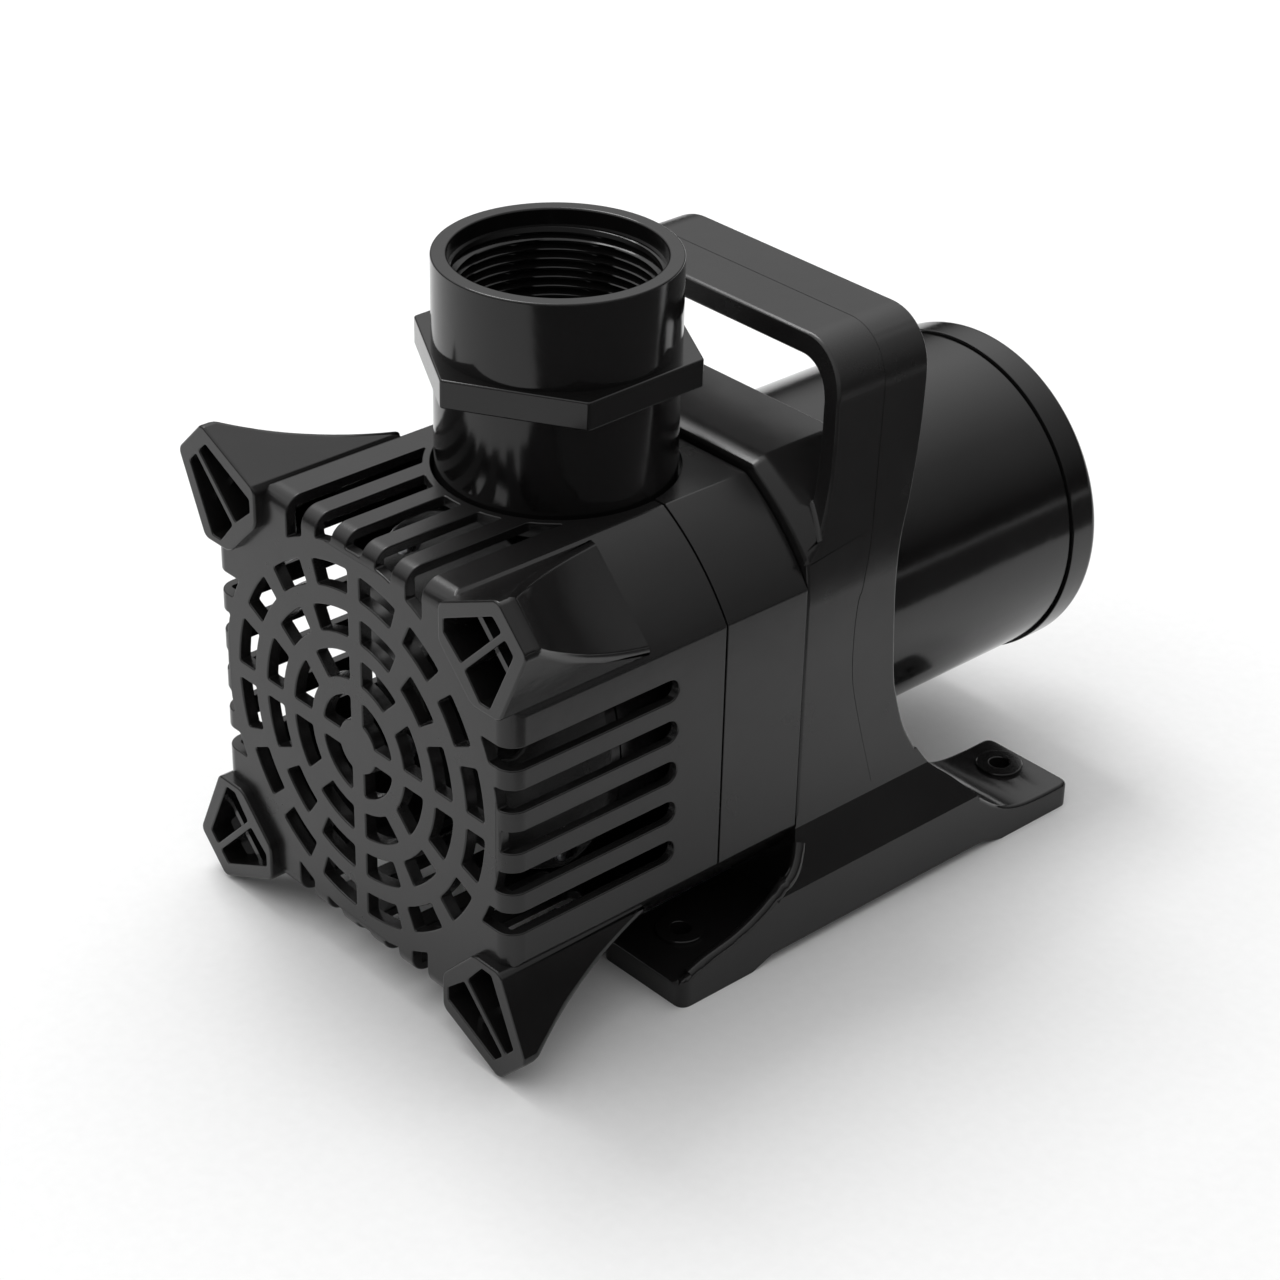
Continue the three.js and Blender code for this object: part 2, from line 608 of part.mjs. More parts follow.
function voluteHousing() {
  const drum = rodY(VOLUTE_R, VOLUTE_FRONT_Y, VOLUTE_BACK_Y, 0, 0, 32);
  const neck = rodZ(NECK_R + 3.5, 20, ADAPTER_BOTTOM, 0, OUTLET_Y, 24);
  const socket = rodZ(SPIGOT_R + 2.9, 40, 51.3, 0, OUTLET_Y, 28);
  const coverRoom = box(-60, 60, 0, VOLUTE_FRONT_Y, 0, VOLUTE_R + 1);
  const carrierRoom = box(-60, 60, VOLUTE_BACK_Y, 100, 0, 40);
  const chamber = alongY(spiralOutline(), VOLUTE_FRONT_Y - 1, CHAMBER_BACK_Y);
  const discharge = rodZ(NECK_R - 2.5, 10, 60, 0, OUTLET_Y - 1.5, 24);
  const counterbore = rodZ(SPIGOT_R + GAP, ADAPTER_BOTTOM - GAP, 60, 0, OUTLET_Y, 28);
  const shaftHole = rodY(9, CHAMBER_BACK_Y - 1, VOLUTE_BACK_Y + 1);
  const screwHoles = DIAGONALS.map((degrees) => {
    const [x, z] = onCircle(VOLUTE_SCREW_R, degrees);
    return rodY(1.7, VOLUTE_FRONT_Y - 1, VOLUTE_FRONT_Y + 14, x, z, 8);
  });
  const ringGroove = turned([[38.2, VOLUTE_FRONT_Y - 1], [39.4, VOLUTE_FRONT_Y - 1],
    [39.4, VOLUTE_FRONT_Y + 1.6], [38.2, VOLUTE_FRONT_Y + 1.6]]);
  return without(joined([drum, without(neck.add(socket), [coverRoom, carrierRoom])]),
    [chamber, discharge, counterbore, shaftHole, ...screwHoles, ringGroove]);
}

function voluteCover() {
  const back = VOLUTE_FRONT_Y - GAP;
  const plate = turned([[SUCTION_R, back], [VOLUTE_R, back], [VOLUTE_R, back - 3.2],
    [SUCTION_R + 3, back - 3.2], [SUCTION_R + 3, back - 12], [SUCTION_R, back - 12]]);
  const holes = DIAGONALS.map((degrees) => {
    const [x, z] = onCircle(VOLUTE_SCREW_R, degrees);
    return rodY(2, back - 5, back + 1, x, z, 8);
  });
  return without(plate, holes);
}

piece('volute_housing', voluteHousing(), BLACK_PLASTIC);
piece('volute_cover', voluteCover(), BLACK_PLASTIC);

const voluteScrew = panScrew(1.4, 3.3, 2.4, 14);
DIAGONALS.forEach((degrees, i) => {
  const [x, z] = onCircle(VOLUTE_SCREW_R, degrees);
  const screw = piece(`volute_screw_${i + 1}`, voluteScrew, STEEL);
  screw.position.set(x, VOLUTE_FRONT_Y - 3.5 - 2 * GAP, z);
  screw.rotation.x = Math.PI;
});

piece('volute_seal', turned([[38.5, VOLUTE_FRONT_Y], [39.1, VOLUTE_FRONT_Y],
  [39.1, VOLUTE_FRONT_Y + 1.3], [38.5, VOLUTE_FRONT_Y + 1.3]]), RUBBER);
piece('outlet_seal', turnedUp([[SPIGOT_R - 0.8, 49.8], [SPIGOT_R + 0.1, 49.8], [SPIGOT_R + 0.1, 51],
  [SPIGOT_R - 0.8, 51]], 0, OUTLET_Y), RUBBER);

// ---------------------------------------------------------------- rotor
const BLADES = 6;
const BACK_PLATE_Y = 68.5;

function bladeOutline(start) {
  const outer = [];
  const inner = [];
  const steps = 4;
  for (let i = 0; i <= steps; i += 1) {
    const r = 9 + (IMPELLER_R - 9.4) * i / steps;
    const lean = start - 62 * i / steps;
    outer.push(onCircle(r, lean));
    inner.push(onCircle(r, lean + THREE.MathUtils.radToDeg(2.2 / r)));
  }
  return polygon([...outer, ...inner.reverse()]);
}

function impeller() {
  const disc = turned([[0, BACK_PLATE_Y], [IMPELLER_R, BACK_PLATE_Y], [IMPELLER_R, BACK_PLATE_Y + 2.4],
    [8, BACK_PLATE_Y + 2.4], [7, 73.4], [0, 73.4]]);
  const hub = turned([[0, 50], [5, 50], [8.5, 58], [9.5, BACK_PLATE_Y + 0.1], [0, BACK_PLATE_Y + 0.1]], 16);
  const blades = [];
  for (let i = 0; i < BLADES; i += 1) {
    blades.push(alongY(bladeOutline(i * 360 / BLADES), 46, BACK_PLATE_Y + 0.1));
  }
  const shroud = turned([[SUCTION_R, 44.2], [IMPELLER_R, 44.2], [IMPELLER_R, 46.2], [SUCTION_R, 46.2]]);
  const bore = rodY(SHAFT_R + SHAFT_FIT, 56, 80, 0, 0, 16);
  return without(joined([disc, hub, shroud, ...blades]), [bore]);
}

const SHAFT_FRONT_Y = 56.5;
const SHAFT_BACK_Y = 181;
const ROTOR_FRONT_Y = 103;
const ROTOR_BACK_Y = 157;

piece('impeller', impeller(), WHITE_PLASTIC);
piece('shaft', rodY(SHAFT_R, SHAFT_FRONT_Y, SHAFT_BACK_Y, 0, 0, 16), CERAMIC);
piece('rotor_magnet', turned([[10, ROTOR_FRONT_Y], [ROTOR_R - 0.6, ROTOR_FRONT_Y],
  [ROTOR_R - 0.6, ROTOR_BACK_Y], [10, ROTOR_BACK_Y]], 24), FERRITE);
piece('rotor_hub', turned([[SHAFT_R + SHAFT_FIT, ROTOR_FRONT_Y], [9.7, ROTOR_FRONT_Y], [9.7, ROTOR_BACK_Y],
  [SHAFT_R + SHAFT_FIT, ROTOR_BACK_Y]], 16), WHITE_PLASTIC);
piece('rotor_sleeve', turned([[ROTOR_R - 0.3, ROTOR_FRONT_Y], [ROTOR_R, ROTOR_FRONT_Y],
  [ROTOR_R, ROTOR_BACK_Y], [ROTOR_R - 0.3, ROTOR_BACK_Y]], 24), STEEL);

const WASHER_T = 1.2;

function thrustWasher(y) {
  return turned([[SHAFT_R + SHAFT_FIT, y], [8, y], [8, y + WASHER_T], [SHAFT_R + SHAFT_FIT, y + WASHER_T]], 16);
}

piece('front_thrust_washer', thrustWasher(ROTOR_FRONT_Y - GAP - WASHER_T), CERAMIC);
piece('back_thrust_washer', thrustWasher(ROTOR_BACK_Y + GAP), CERAMIC);

// ---------------------------------------------------------------- bearings and can
const FRONT_BUSH = [84.6, 96];
const BACK_BUSH = [166, 177];
const BUSH_R = 8;
const SEAT_R = 11;

function bush([y0, y1]) {
  return turned([[SHAFT_R + BUSH_FIT, y0], [BUSH_R, y0], [BUSH_R, y1], [SHAFT_R + BUSH_FIT, y1]], 32);
}

function bushSeat([y0, y1], outerR) {
  return turned([[BUSH_R + GAP, y0], [outerR, y0], [outerR, y1], [BUSH_R + GAP, y1]], 16);
}

piece('front_bush', bush(FRONT_BUSH), CERAMIC);
piece('back_bush', bush(BACK_BUSH), CERAMIC);
piece('front_bush_seat', bushSeat(FRONT_BUSH, SEAT_R), RUBBER);
piece('back_bush_seat', bushSeat(BACK_BUSH, SEAT_R), RUBBER);

const CAN_IN_R = CAN_R - 1.2;
const CAN_BACK_Y = 184;

piece('bearing_carrier', turned([[SEAT_R + GAP, 80.5], [36, 80.5], [36, 83.9], [CAN_IN_R - GAP, 83.9],
  [CAN_IN_R - GAP, 96.5], [SHAFT_R + 1, 96.5], [SHAFT_R + 1, 96.3], [SEAT_R + GAP, 96.3]], 24), WHITE_PLASTIC);

// The can keeps the rotor's water out of the windings. Its flange seals on the housing.
piece('rotor_can', turned([[CAN_IN_R, FLANGE_Y], [CAN_R, FLANGE_Y], [CAN_R, 163], [SEAT_R + 1.8, 166],
  [SEAT_R + 1.8, CAN_BACK_Y], [0, CAN_BACK_Y], [0, 182.4], [SEAT_R + GAP, 182.4], [SEAT_R + GAP, 165.4],
  [CAN_IN_R, 162.4]].reverse(), 24), GLOSS_PLASTIC);

// ---------------------------------------------------------------- stator
const STATOR = [106, 154];
const STATOR_OUT_R = 38.4;
const POLE_W = 15;

function statorCore() {
  const yoke = turned([[STATOR_OUT_R - 6, STATOR[0]], [STATOR_OUT_R, STATOR[0]],
    [STATOR_OUT_R, STATOR[1]], [STATOR_OUT_R - 6, STATOR[1]]]);
  const face = turned([[CAN_R + 0.4, STATOR[0]], [CAN_R + 3.4, STATOR[0]], [CAN_R + 3.4, STATOR[1]],
    [CAN_R + 0.4, STATOR[1]]]);
  const poles = box(CAN_R + 1, STATOR_OUT_R - 2, STATOR[0], STATOR[1], -POLE_W / 2, POLE_W / 2)
    .add(box(2 - STATOR_OUT_R, -CAN_R - 1, STATOR[0], STATOR[1], -POLE_W / 2, POLE_W / 2));
  const slits = box(-5, 5, STATOR[0] - 1, STATOR[1] + 1, -CAN_R - 5, CAN_R + 5);
  return joined([yoke, poles, without(face, [slits])]);
}

function frameAround(x0, x1, inner, outer) {
  const [hy, hz] = inner;
  const middle = (STATOR[0] + STATOR[1]) / 2;
  const ring = box(x0, x1, middle - hy - outer, middle + hy + outer, -hz - outer, hz + outer);
  return ring.subtract(box(x0 - 1, x1 + 1, middle - hy, middle + hy, -hz, hz));
}

const POLE_HALF = [(STATOR[1] - STATOR[0]) / 2 + GAP, POLE_W / 2 + GAP];
const COIL_HALF = POLE_HALF.map((half) => half + 1.2 + GAP);

piece('stator_core', statorCore(), IRON);
piece('right_bobbin', frameAround(21.2, 27.4, POLE_HALF, 1.2), WHITE_PLASTIC);
piece('left_bobbin', frameAround(-27.4, -21.2, POLE_HALF, 1.2), WHITE_PLASTIC);
piece('right_coil', frameAround(21.6, 27, COIL_HALF, 3), COPPER);
piece('left_coil', frameAround(-27, -21.6, COIL_HALF, 3), COPPER);

// ---------------------------------------------------------------- motor housing
const HOUSING_WALL = 2.8;
const CAP_SCREW_R = 36.6;

function motorHousing() {
  const inside = MOTOR_R - HOUSING_WALL;
  const shell = turned([[CAN_R + GAP, FLANGE_Y], [FLANGE_R, FLANGE_Y], [FLANGE_R, BRACKET_Y - GAP],
    [MOTOR_R, BRACKET_Y - GAP], [MOTOR_R, CAP_Y - GAP], [inside, CAP_Y - GAP], [inside, FLANGE_Y + 4],
    [CAN_R + GAP, FLANGE_Y + 4]], 32);
  const bosses = DIAGONALS.map((degrees) => {
    const [x, z] = onCircle(CAP_SCREW_R + 1.5, degrees);
    return rodY(4.2, 172, 193.4, x, z, 10);
  });
  const pilots = DIAGONALS.map((degrees) => {
    const [x, z] = onCircle(CAP_SCREW_R, degrees);
    return rodY(1.7, 180, 195, x, z, 8);
  });
  return without(joined([shell, ...bosses]), pilots);
}

function motorEndCap() {
  const inside = MOTOR_R - HOUSING_WALL - GAP;
  const edge = arc(CAP_R - 2.6, CAP_END_Y - 2.6, 2.6, 0, 90, 2);
  const groove = [[inside, 195.4], [inside - 1.2, 195.4], [inside - 1.2, 197.6], [inside, 197.6]];
  const cap = turned([[5.3, CAP_END_Y - 3.2], [inside - 3, CAP_END_Y - 3.2], [inside - 3, 194],
    [inside, 194], ...groove, [inside, CAP_Y], [CAP_R, CAP_Y], ...edge, [5.3, CAP_END_Y]], 32);
  const pillars = DIAGONALS.map((degrees) => {
    const [x, z] = onCircle(CAP_SCREW_R, degrees);
    return rodY(3, 193.8, CAP_END_Y - 1, x, z, 10);
  });
  const holes = DIAGONALS.map((degrees) => {
    const [x, z] = onCircle(CAP_SCREW_R, degrees);
    return rodY(1.9, 190, CAP_END_Y + 1, x, z, 8).add(rodY(3.7, CAP_END_Y - 2.9, CAP_END_Y + 1, x, z, 12));
  });
  return without(joined([cap, ...pillars]), holes);
}

piece('motor_housing', motorHousing(), GLOSS_PLASTIC);
piece('motor_end_cap', motorEndCap(), GLOSS_PLASTIC);

const capScrew = panScrew(1.4, 3.3, 2.3, 20);
DIAGONALS.forEach((degrees, i) => {
  const [x, z] = onCircle(CAP_SCREW_R, degrees);
  const screw = piece(`end_cap_screw_${i + 1}`, capScrew, STEEL);
  screw.position.set(x, CAP_END_Y - 2.9 + GAP, z);
});

piece('end_cap_seal', turned([[39.8, 195.7], [40.8, 195.7], [40.8, 197.3], [39.8, 197.3]], 32), RUBBER);

// ---------------------------------------------------------------- cable gland, no cable
const CORD_R = 3.3;

function glandCap() {
  const dome = turned([[CORD_R, GLAND_END_Y], [6, GLAND_END_Y], [8.6, 219], [9.4, 214], [6.8, 214],
    [6.8, 219.6], [CORD_R, 219.6]], 20);
  const grips = [];
  for (let i = 0; i < 10; i += 1) {
    const [x, z] = onCircle(9.7, i * 36);
    grips.push(rodY(1, 212, 223, x, z, 6));
  }
  return without(dome, grips);
}

piece('gland_body', turned([[CORD_R, 200], [5, 200], [5, CAP_END_Y + GAP], [9.4, CAP_END_Y + GAP],
  [9.4, 213.6], [6.5, 213.6], [6.5, 217.2], [CORD_R, 217.2]], 20), BLACK_PLASTIC);
piece('gland_nut', turned([[6.2, 201], [9.5, 201], [9.5, 205.2], [6.2, 205.2]], 6), BLACK_PLASTIC);
piece('gland_seal', turned([[CORD_R - 0.3, 217.5], [6.4, 217.5], [6.4, 219.3], [CORD_R - 0.3, 219.3]], 16),
  RUBBER);
piece('gland_cap', glandCap(), BLACK_PLASTIC);

// ---------------------------------------------------------------- stand it on its feet
const fountainPump = new THREE.Group();
pump.position.set(0, (HORN_PROUD - GLAND_END_Y) / 2, -FOOT_Z);
fountainPump.add(pump);

export default fountainPump;
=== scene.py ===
"""Fountain submersible pump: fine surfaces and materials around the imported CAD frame.

Shapes are drawn in millimetres in the pump's own frame, as the CAD source does: Y runs along the
shaft from the grille's face at y = 0, and x = z = 0 is the shaft axis. show() puts a finished
shape into the frame, in metres. Materials, lights and the camera use the frame's own metres.
"""

import json
import math

import bmesh
import bpy
from mathutils import Matrix, Vector

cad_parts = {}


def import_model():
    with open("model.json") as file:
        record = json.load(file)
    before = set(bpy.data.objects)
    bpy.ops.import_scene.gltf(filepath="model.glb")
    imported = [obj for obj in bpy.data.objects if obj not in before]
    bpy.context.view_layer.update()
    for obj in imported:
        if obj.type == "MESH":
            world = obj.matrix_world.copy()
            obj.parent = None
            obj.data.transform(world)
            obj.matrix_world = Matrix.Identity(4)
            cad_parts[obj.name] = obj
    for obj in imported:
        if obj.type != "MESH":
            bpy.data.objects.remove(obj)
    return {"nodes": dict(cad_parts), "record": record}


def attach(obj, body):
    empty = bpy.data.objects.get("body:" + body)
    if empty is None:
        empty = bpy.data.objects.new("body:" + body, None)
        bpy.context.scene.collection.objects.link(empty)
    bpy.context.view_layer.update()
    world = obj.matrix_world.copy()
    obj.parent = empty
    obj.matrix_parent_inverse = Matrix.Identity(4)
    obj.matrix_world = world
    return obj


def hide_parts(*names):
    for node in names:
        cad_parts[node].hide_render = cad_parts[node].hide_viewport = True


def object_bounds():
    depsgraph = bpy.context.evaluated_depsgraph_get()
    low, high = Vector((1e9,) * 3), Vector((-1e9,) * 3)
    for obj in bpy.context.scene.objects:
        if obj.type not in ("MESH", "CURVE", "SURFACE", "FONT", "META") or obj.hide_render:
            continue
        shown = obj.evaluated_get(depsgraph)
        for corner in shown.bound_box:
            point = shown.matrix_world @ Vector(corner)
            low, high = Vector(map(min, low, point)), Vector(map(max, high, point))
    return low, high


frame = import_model()
CAD_LOW, CAD_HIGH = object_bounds()

# ------------------------------------------------------------------ sizes, in millimetres
GAP = 0.3  # clearance between pieces
HALF = 54.8  # from the shaft axis to the body's flats
CORNER_R = 63.8  # from the shaft axis to the body's corners
WALL = 2.6
FACE = 3  # thickness of the grille
EDGE_R = 4.8
SEAM_Y = 64.8  # strainer cage to rear cage
BRACKET_Y = 90.5  # rear cage to ring
RING_END_Y = 117
CAP_Y = 199
CAP_END_Y = 208.8
OUTLET_Y = 60.2
OUTLET_R = 28.9
OUTLET_HOLE_R = OUTLET_R + 0.5
OUTLET_TOP = 107.5
HEX_BOTTOM = 79.3
HEX_TOP = 86.4
HEX_CORNER_R = 35
THREAD_R = 24.4
THREAD_PITCH = 25.4 / 11
NECK_R = 17.5
SLOT_PITCH = 10.95
SLOT_W = 5.6
SLOT_END_Y = 50
SLOT_DEPTH = 19
SLOT_INNER_R = 51.3  # the slots stop at this circle on the grille
TOP_SLOT_R = 31.4  # and at this circle round the outlet
HORN_PROUD = 2.5  # the horns reach past the grille by this
HORN_TIP_D = 82.9
HORN_END_Y = 40.6
FOOT_Z = -63.8
FOOT_IN_X = 33
FOOT_OUT_X = 61.8
FOOT_FRONT_Y = 47.5
FOOT_BACK_Y = 186
PAD_Z = -57
HANDLE_TOP = 85
HANDLE_T = 5
HANDLE_R = 15.5
HANDLE_TURN_X = 32.4
HANDLE_LEAN = 10.55  # degrees that the handle's legs lean in
HANDLE_LEAN_Z = 34
HANDLE_BLEND_R = 100  # rounds the change from upright to leaning
MOTOR_R = 43.8
CAP_R = 44.6
CORD_R = 3.3
GLAND_END_Y = 222

SCENE = bpy.context.scene
MM = 0.001
FINE = 128  # segments in a large round
FINEST = 192  # segments in the rounds that show most


# ------------------------------------------------------------------ outlines
def arc(cx, cy, r, start, end, steps):
    """Points on an arc, angles in degrees."""
    points = []
    for i in range(steps + 1):
        t = math.radians(start + (end - start) * i / steps)
        points.append((cx + r * math.cos(t), cy + r * math.sin(t)))
    return points


def smooth(points, steps=6):
    """A Catmull-Rom curve through the points."""
    ends = [points[0], *points, points[-1]]
    curve = []
    for i in range(len(points) - 1):
        a, b, c, d = (Vector(p) for p in ends[i : i + 4])
        for k in range(steps):
            t = k / steps
            p = b * 2 + (c - a) * t + (a * 2 - b * 5 + c * 4 - d) * t**2
            p += (b * 3 - a - c * 3 + d) * t**3
            curve.append((p.x / 2, p.y / 2))
    return [*curve, tuple(points[-1])]


def tidy_outline(points):
    """The outline without repeated points."""
    kept = []
    for p in points:
        if not kept or math.dist(p, kept[-1]) > 1e-3:
            kept.append(p)
    if math.dist(kept[0], kept[-1]) < 1e-3:
        kept.pop()
    return kept


def rounded(points, radius, steps=4):
    """The outline with an arc at every real corner."""
    points = tidy_outline(points)
    out = []
    for i, here in enumerate(points):
        p = Vector(here)
        before, after = Vector(points[i - 1]), Vector(points[(i + 1) % len(points)])
        a, b = (before - p).normalized(), (after - p).normalized()
        opening = a.angle(b)
        if opening > math.radians(150):
            out.append(here)
            continue
        shorter = min((before - p).length, (after - p).length)
        reach = min(radius / math.tan(opening / 2), shorter * 0.45)
        start, end = p + a * reach, p + b * reach
        out.extend(bezier(start, p, end, steps))
    return out


def grown(points, distance):
    """The outline moved outwards by a distance. It runs anticlockwise or clockwise."""
    points = tidy_outline(points)
    n = len(points)
    area = sum(points[i - 1][0] * points[i][1] - points[i][0] * points[i - 1][1] for i in range(n))
    side = math.copysign(1, area)
    out = []
    for i, here in enumerate(points):
        before, after = Vector(points[i - 1]), Vector(points[(i + 1) % n])
        a, b = (Vector(here) - before).normalized(), (after - Vector(here)).normalized()
        normal = Vector((a.y + b.y, -a.x - b.x)).normalized() * side
        lean = max(0.5, normal.dot(Vector((a.y, -a.x)) * side))
        p = Vector(here) + normal * distance / lean
        out.append((p.x, p.y))
    return out


def bezier(a, b, c, steps):
    """A curve from a to c that b pulls on."""
    points = []
    for i in range(steps + 1):
        t = i / steps
        p = Vector(a) * (1 - t) ** 2 + Vector(b) * 2 * t * (1 - t) + Vector(c) * t**2
        points.append((p.x, p.y))
    return points


def body_outline(half_x, half_z, r, steps=16):
    """Square section with flats at half_x and half_z and corner arcs about the axis."""
    side = math.degrees(math.acos(half_x / r))
    top = math.degrees(math.asin(half_z / r))
    return [
        *arc(0, 0, r, side, top, steps),
        *arc(0, 0, r, 180 - top, 180 - side, steps),
        *arc(0, 0, r, 180 + side, 180 + top, steps),
        *arc(0, 0, r, 360 - top, 360 - side, steps),
    ]


def inset(distance):
    """The body's outline moved inwards."""
    return body_outline(HALF - distance, HALF - distance, CORNER_R - distance)


def quarter_turn(point, quarter):
    """The point turned about the shaft axis by so many quarter turns."""
    u, v = point
    return [(u, v), (-v, u), (-u, -v), (v, -u)][quarter % 4]


def on_circle(r, degrees):
    return r * math.cos(math.radians(degrees)), r * math.sin(math.radians(degrees))


# ------------------------------------------------------------------ solids
PLACE = {
    "X": lambda u, v, w: (w, u, v),
    "Y": lambda u, v, w: (u, w, v),
    "Z": lambda u, v, w: (u, v, w),
    "DOWN": lambda u, v, w: (u, v, -w),
}


def solid(verts, faces):
    """A closed mesh object with its faces pointing out."""
    mesh = bpy.data.meshes.new("shape")
    mesh.from_pydata(verts, [], faces)
    bm = bmesh.new()
    bm.from_mesh(mesh)
    bmesh.ops.recalc_face_normals(bm, faces=bm.faces)
    bm.to_mesh(mesh)
    bm.free()
    obj = bpy.data.objects.new("shape", mesh)
    SCENE.collection.objects.link(obj)
    return obj


def prism(outline, low, high, axis):
    """An outline pushed along an axis. It is (y, z) along X, (x, z) along Y and (x, y) along Z."""
    outline = tidy_outline(outline)
    n = len(outline)
    place = PLACE[axis]
    verts = [place(u, v, low) for u, v in outline] + [place(u, v, high) for u, v in outline]
    sides = [(i, (i + 1) % n, n + (i + 1) % n, n + i) for i in range(n)]
    return solid(verts, [tuple(range(n)), tuple(range(n, 2 * n)), *sides])


def loft(sections, axis):
    """Joins outlines with equal numbers of points, each (outline, place along the axis)."""
    place = PLACE[axis]
    n = len(sections[0][0])
    verts = [place(u, v, at) for outline, at in sections for u, v in outline]
    last = n * (len(sections) - 1)
    faces = [tuple(range(n)), tuple(range(last, last + n))]
    for row in range(0, last, n):
        for i in range(n):
            j = (i + 1) % n
            faces.append((row + i, row + j, row + n + j, row + n + i))
    return solid(verts, faces)


def lipped_hole(outline, low, high, lip, axis="Y", draft=0.0):
    """A cutter for a hole whose near edge, at low, is rounded off."""
    sections = [(grown(outline, lip), low - 1)]
    for i in range(5):
        t = math.radians(90 * i / 4)
        sections.append((grown(outline, lip * (1 - math.sin(t))), low + lip * (1 - math.cos(t))))
    sections.append((grown(outline, -draft), high))
    return loft(sections, axis)


def box(x0, x1, y0, y1, z0, z1):
    """A block between two places on each axis."""
    return prism([(x0, y0), (x1, y0), (x1, y1), (x0, y1)], z0, z1, "Z")


def turned(profile, centre=(0, 0), axis="Y", steps=FINE, radius=lambda r, h, angle: r):
    """A closed (radius, height) profile turned about a line along the axis through the centre."""
    closed = profile[0][0] > 0
    verts, rows = [], []
    place = PLACE[axis]
    for r, h in profile:
        if r == 0:
            rows.append([len(verts)] * steps)
            verts.append(place(centre[0], centre[1], h))
            continue
        rows.append([len(verts) + k for k in range(steps)])
        for k in range(steps):
            angle = 2 * math.pi * k / steps
            here = radius(r, h, angle)
            u = centre[0] + here * math.cos(angle)
            v = centre[1] + here * math.sin(angle)
            verts.append(place(u, v, h))
    pairs = list(zip(rows, rows[1:]))
    if closed:
        pairs.append((rows[-1], rows[0]))
    faces = []
    for a, b in pairs:
        for k in range(steps):
            m = (k + 1) % steps
            corners = [a[k], a[m], b[m], b[k]]
            face = [c for i, c in enumerate(corners) if c not in corners[:i]]
            if len(face) > 2:
                faces.append(face)
    return solid(verts, faces)


def pipe(path, radius, steps=16):
    """A round bar along a path of points."""
    points = [Vector(point) for point in path]
    verts, faces = [], []
    for i, point in enumerate(points):
        along = (points[min(i + 1, len(points) - 1)] - points[max(i - 1, 0)]).normalized()
        across = along.cross(Vector((0, 0, 1))).normalized()
        up = across.cross(along)
        for k in range(steps):
            angle = 2 * math.pi * k / steps
            verts.append(point + radius * (across * math.cos(angle) + up * math.sin(angle)))
    last = (len(points) - 1) * steps
    for row in range(0, last, steps):
        for k in range(steps):
            m = (k + 1) % steps
            faces.append((row + k, row + m, row + steps + m, row + steps + k))
    faces += [tuple(range(steps)), tuple(range(last, last + steps))]
    return solid(verts, faces)


def rod(r, low, high, centre=(0, 0), axis="Y", steps=32):
    """A cylinder, also used as the cutter for a plain bore."""
    return turned([(0, low), (r, low), (r, high), (0, high)], centre, axis, steps)


def bake(obj):
    """Applies the object's modifiers."""
    graph = bpy.context.evaluated_depsgraph_get()
    mesh = bpy.data.meshes.new_from_object(obj.evaluated_get(graph))
    obj.modifiers.clear()
    obj.data = mesh
    return obj


def combine(base, operation, others, discard=True):
    """A boolean of the base with each of the others, which are then dropped."""
    for other in others:
        modifier = base.modifiers.new("combine", "BOOLEAN")
        modifier.solver = "MANIFOLD"
        modifier.operation = operation
        modifier.object = other
    bake(base)
    for other in others if discard else []:
        bpy.data.objects.remove(other)
    return base


def join(base, *others):
    return combine(base, "UNION", others)


def cut(base, *others):
    return combine(base, "DIFFERENCE", others)


def meet(base, *others):
    return combine(base, "INTERSECT", others)


def turn(obj, axis, degrees):
    obj.data.transform(Matrix.Rotation(math.radians(degrees), 4, axis))
    return obj


def shift(obj, x, y, z):
    obj.data.transform(Matrix.Translation((x, y, z)))
    return obj


def across_corner(outline, width, quarter):
    """An outline of (distance along the corner's diagonal, y), as wide as the width."""
    obj = prism([(d, y) for d, y in outline], -width / 2, width / 2, "Z")
    return turn(obj, "Y", -45 + 90 * quarter)


def soften(obj, radius, segments=3, angle=26, weld=0.02, keep=lambda middle: True):
    """Rounds the edges that are sharper than the angle, where keep() wants it at their middle."""
    bm = bmesh.new()
    bm.from_mesh(obj.data)
    bmesh.ops.remove_doubles(bm, verts=bm.verts, dist=weld)
    bmesh.ops.dissolve_limit(bm, angle_limit=math.radians(0.8), verts=bm.verts, edges=bm.edges)
    floats = bm.edges.layers.float
    weights = floats.get("bevel_weight_edge") or floats.new("bevel_weight_edge")
    for edge in bm.edges:
        sharp = len(edge.link_faces) == 2 and edge.calc_face_angle() > math.radians(angle)
        middle = (edge.verts[0].co + edge.verts[1].co) / 2
        edge[weights] = 1.0 if sharp and keep(middle) else 0.0
    bm.to_mesh(obj.data)
    bm.free()
    bevel = obj.modifiers.new("round", "BEVEL")
    bevel.width = radius
    bevel.segments = segments
    bevel.limit_method = "WEIGHT"
    bevel.use_clamp_overlap = False
    bevel.miter_outer = "MITER_ARC"
    return bake(obj)


def clean_normals(obj, angle=35):
    """Smooth shading that keeps edges sharper than the angle."""
    mesh = obj.data
    bm = bmesh.new()
    bm.from_mesh(mesh)
    for face in bm.faces:
        face.smooth = True
    for edge in bm.edges:
        edge.smooth = len(edge.link_faces) == 2 and edge.calc_face_angle(0) < math.radians(angle)
    bm.to_mesh(mesh)
    bm.free()
    weighted = obj.modifiers.new("normals", "WEIGHTED_NORMAL")
    weighted.keep_sharp = True
    weighted.weight = 80
    return bake(obj)


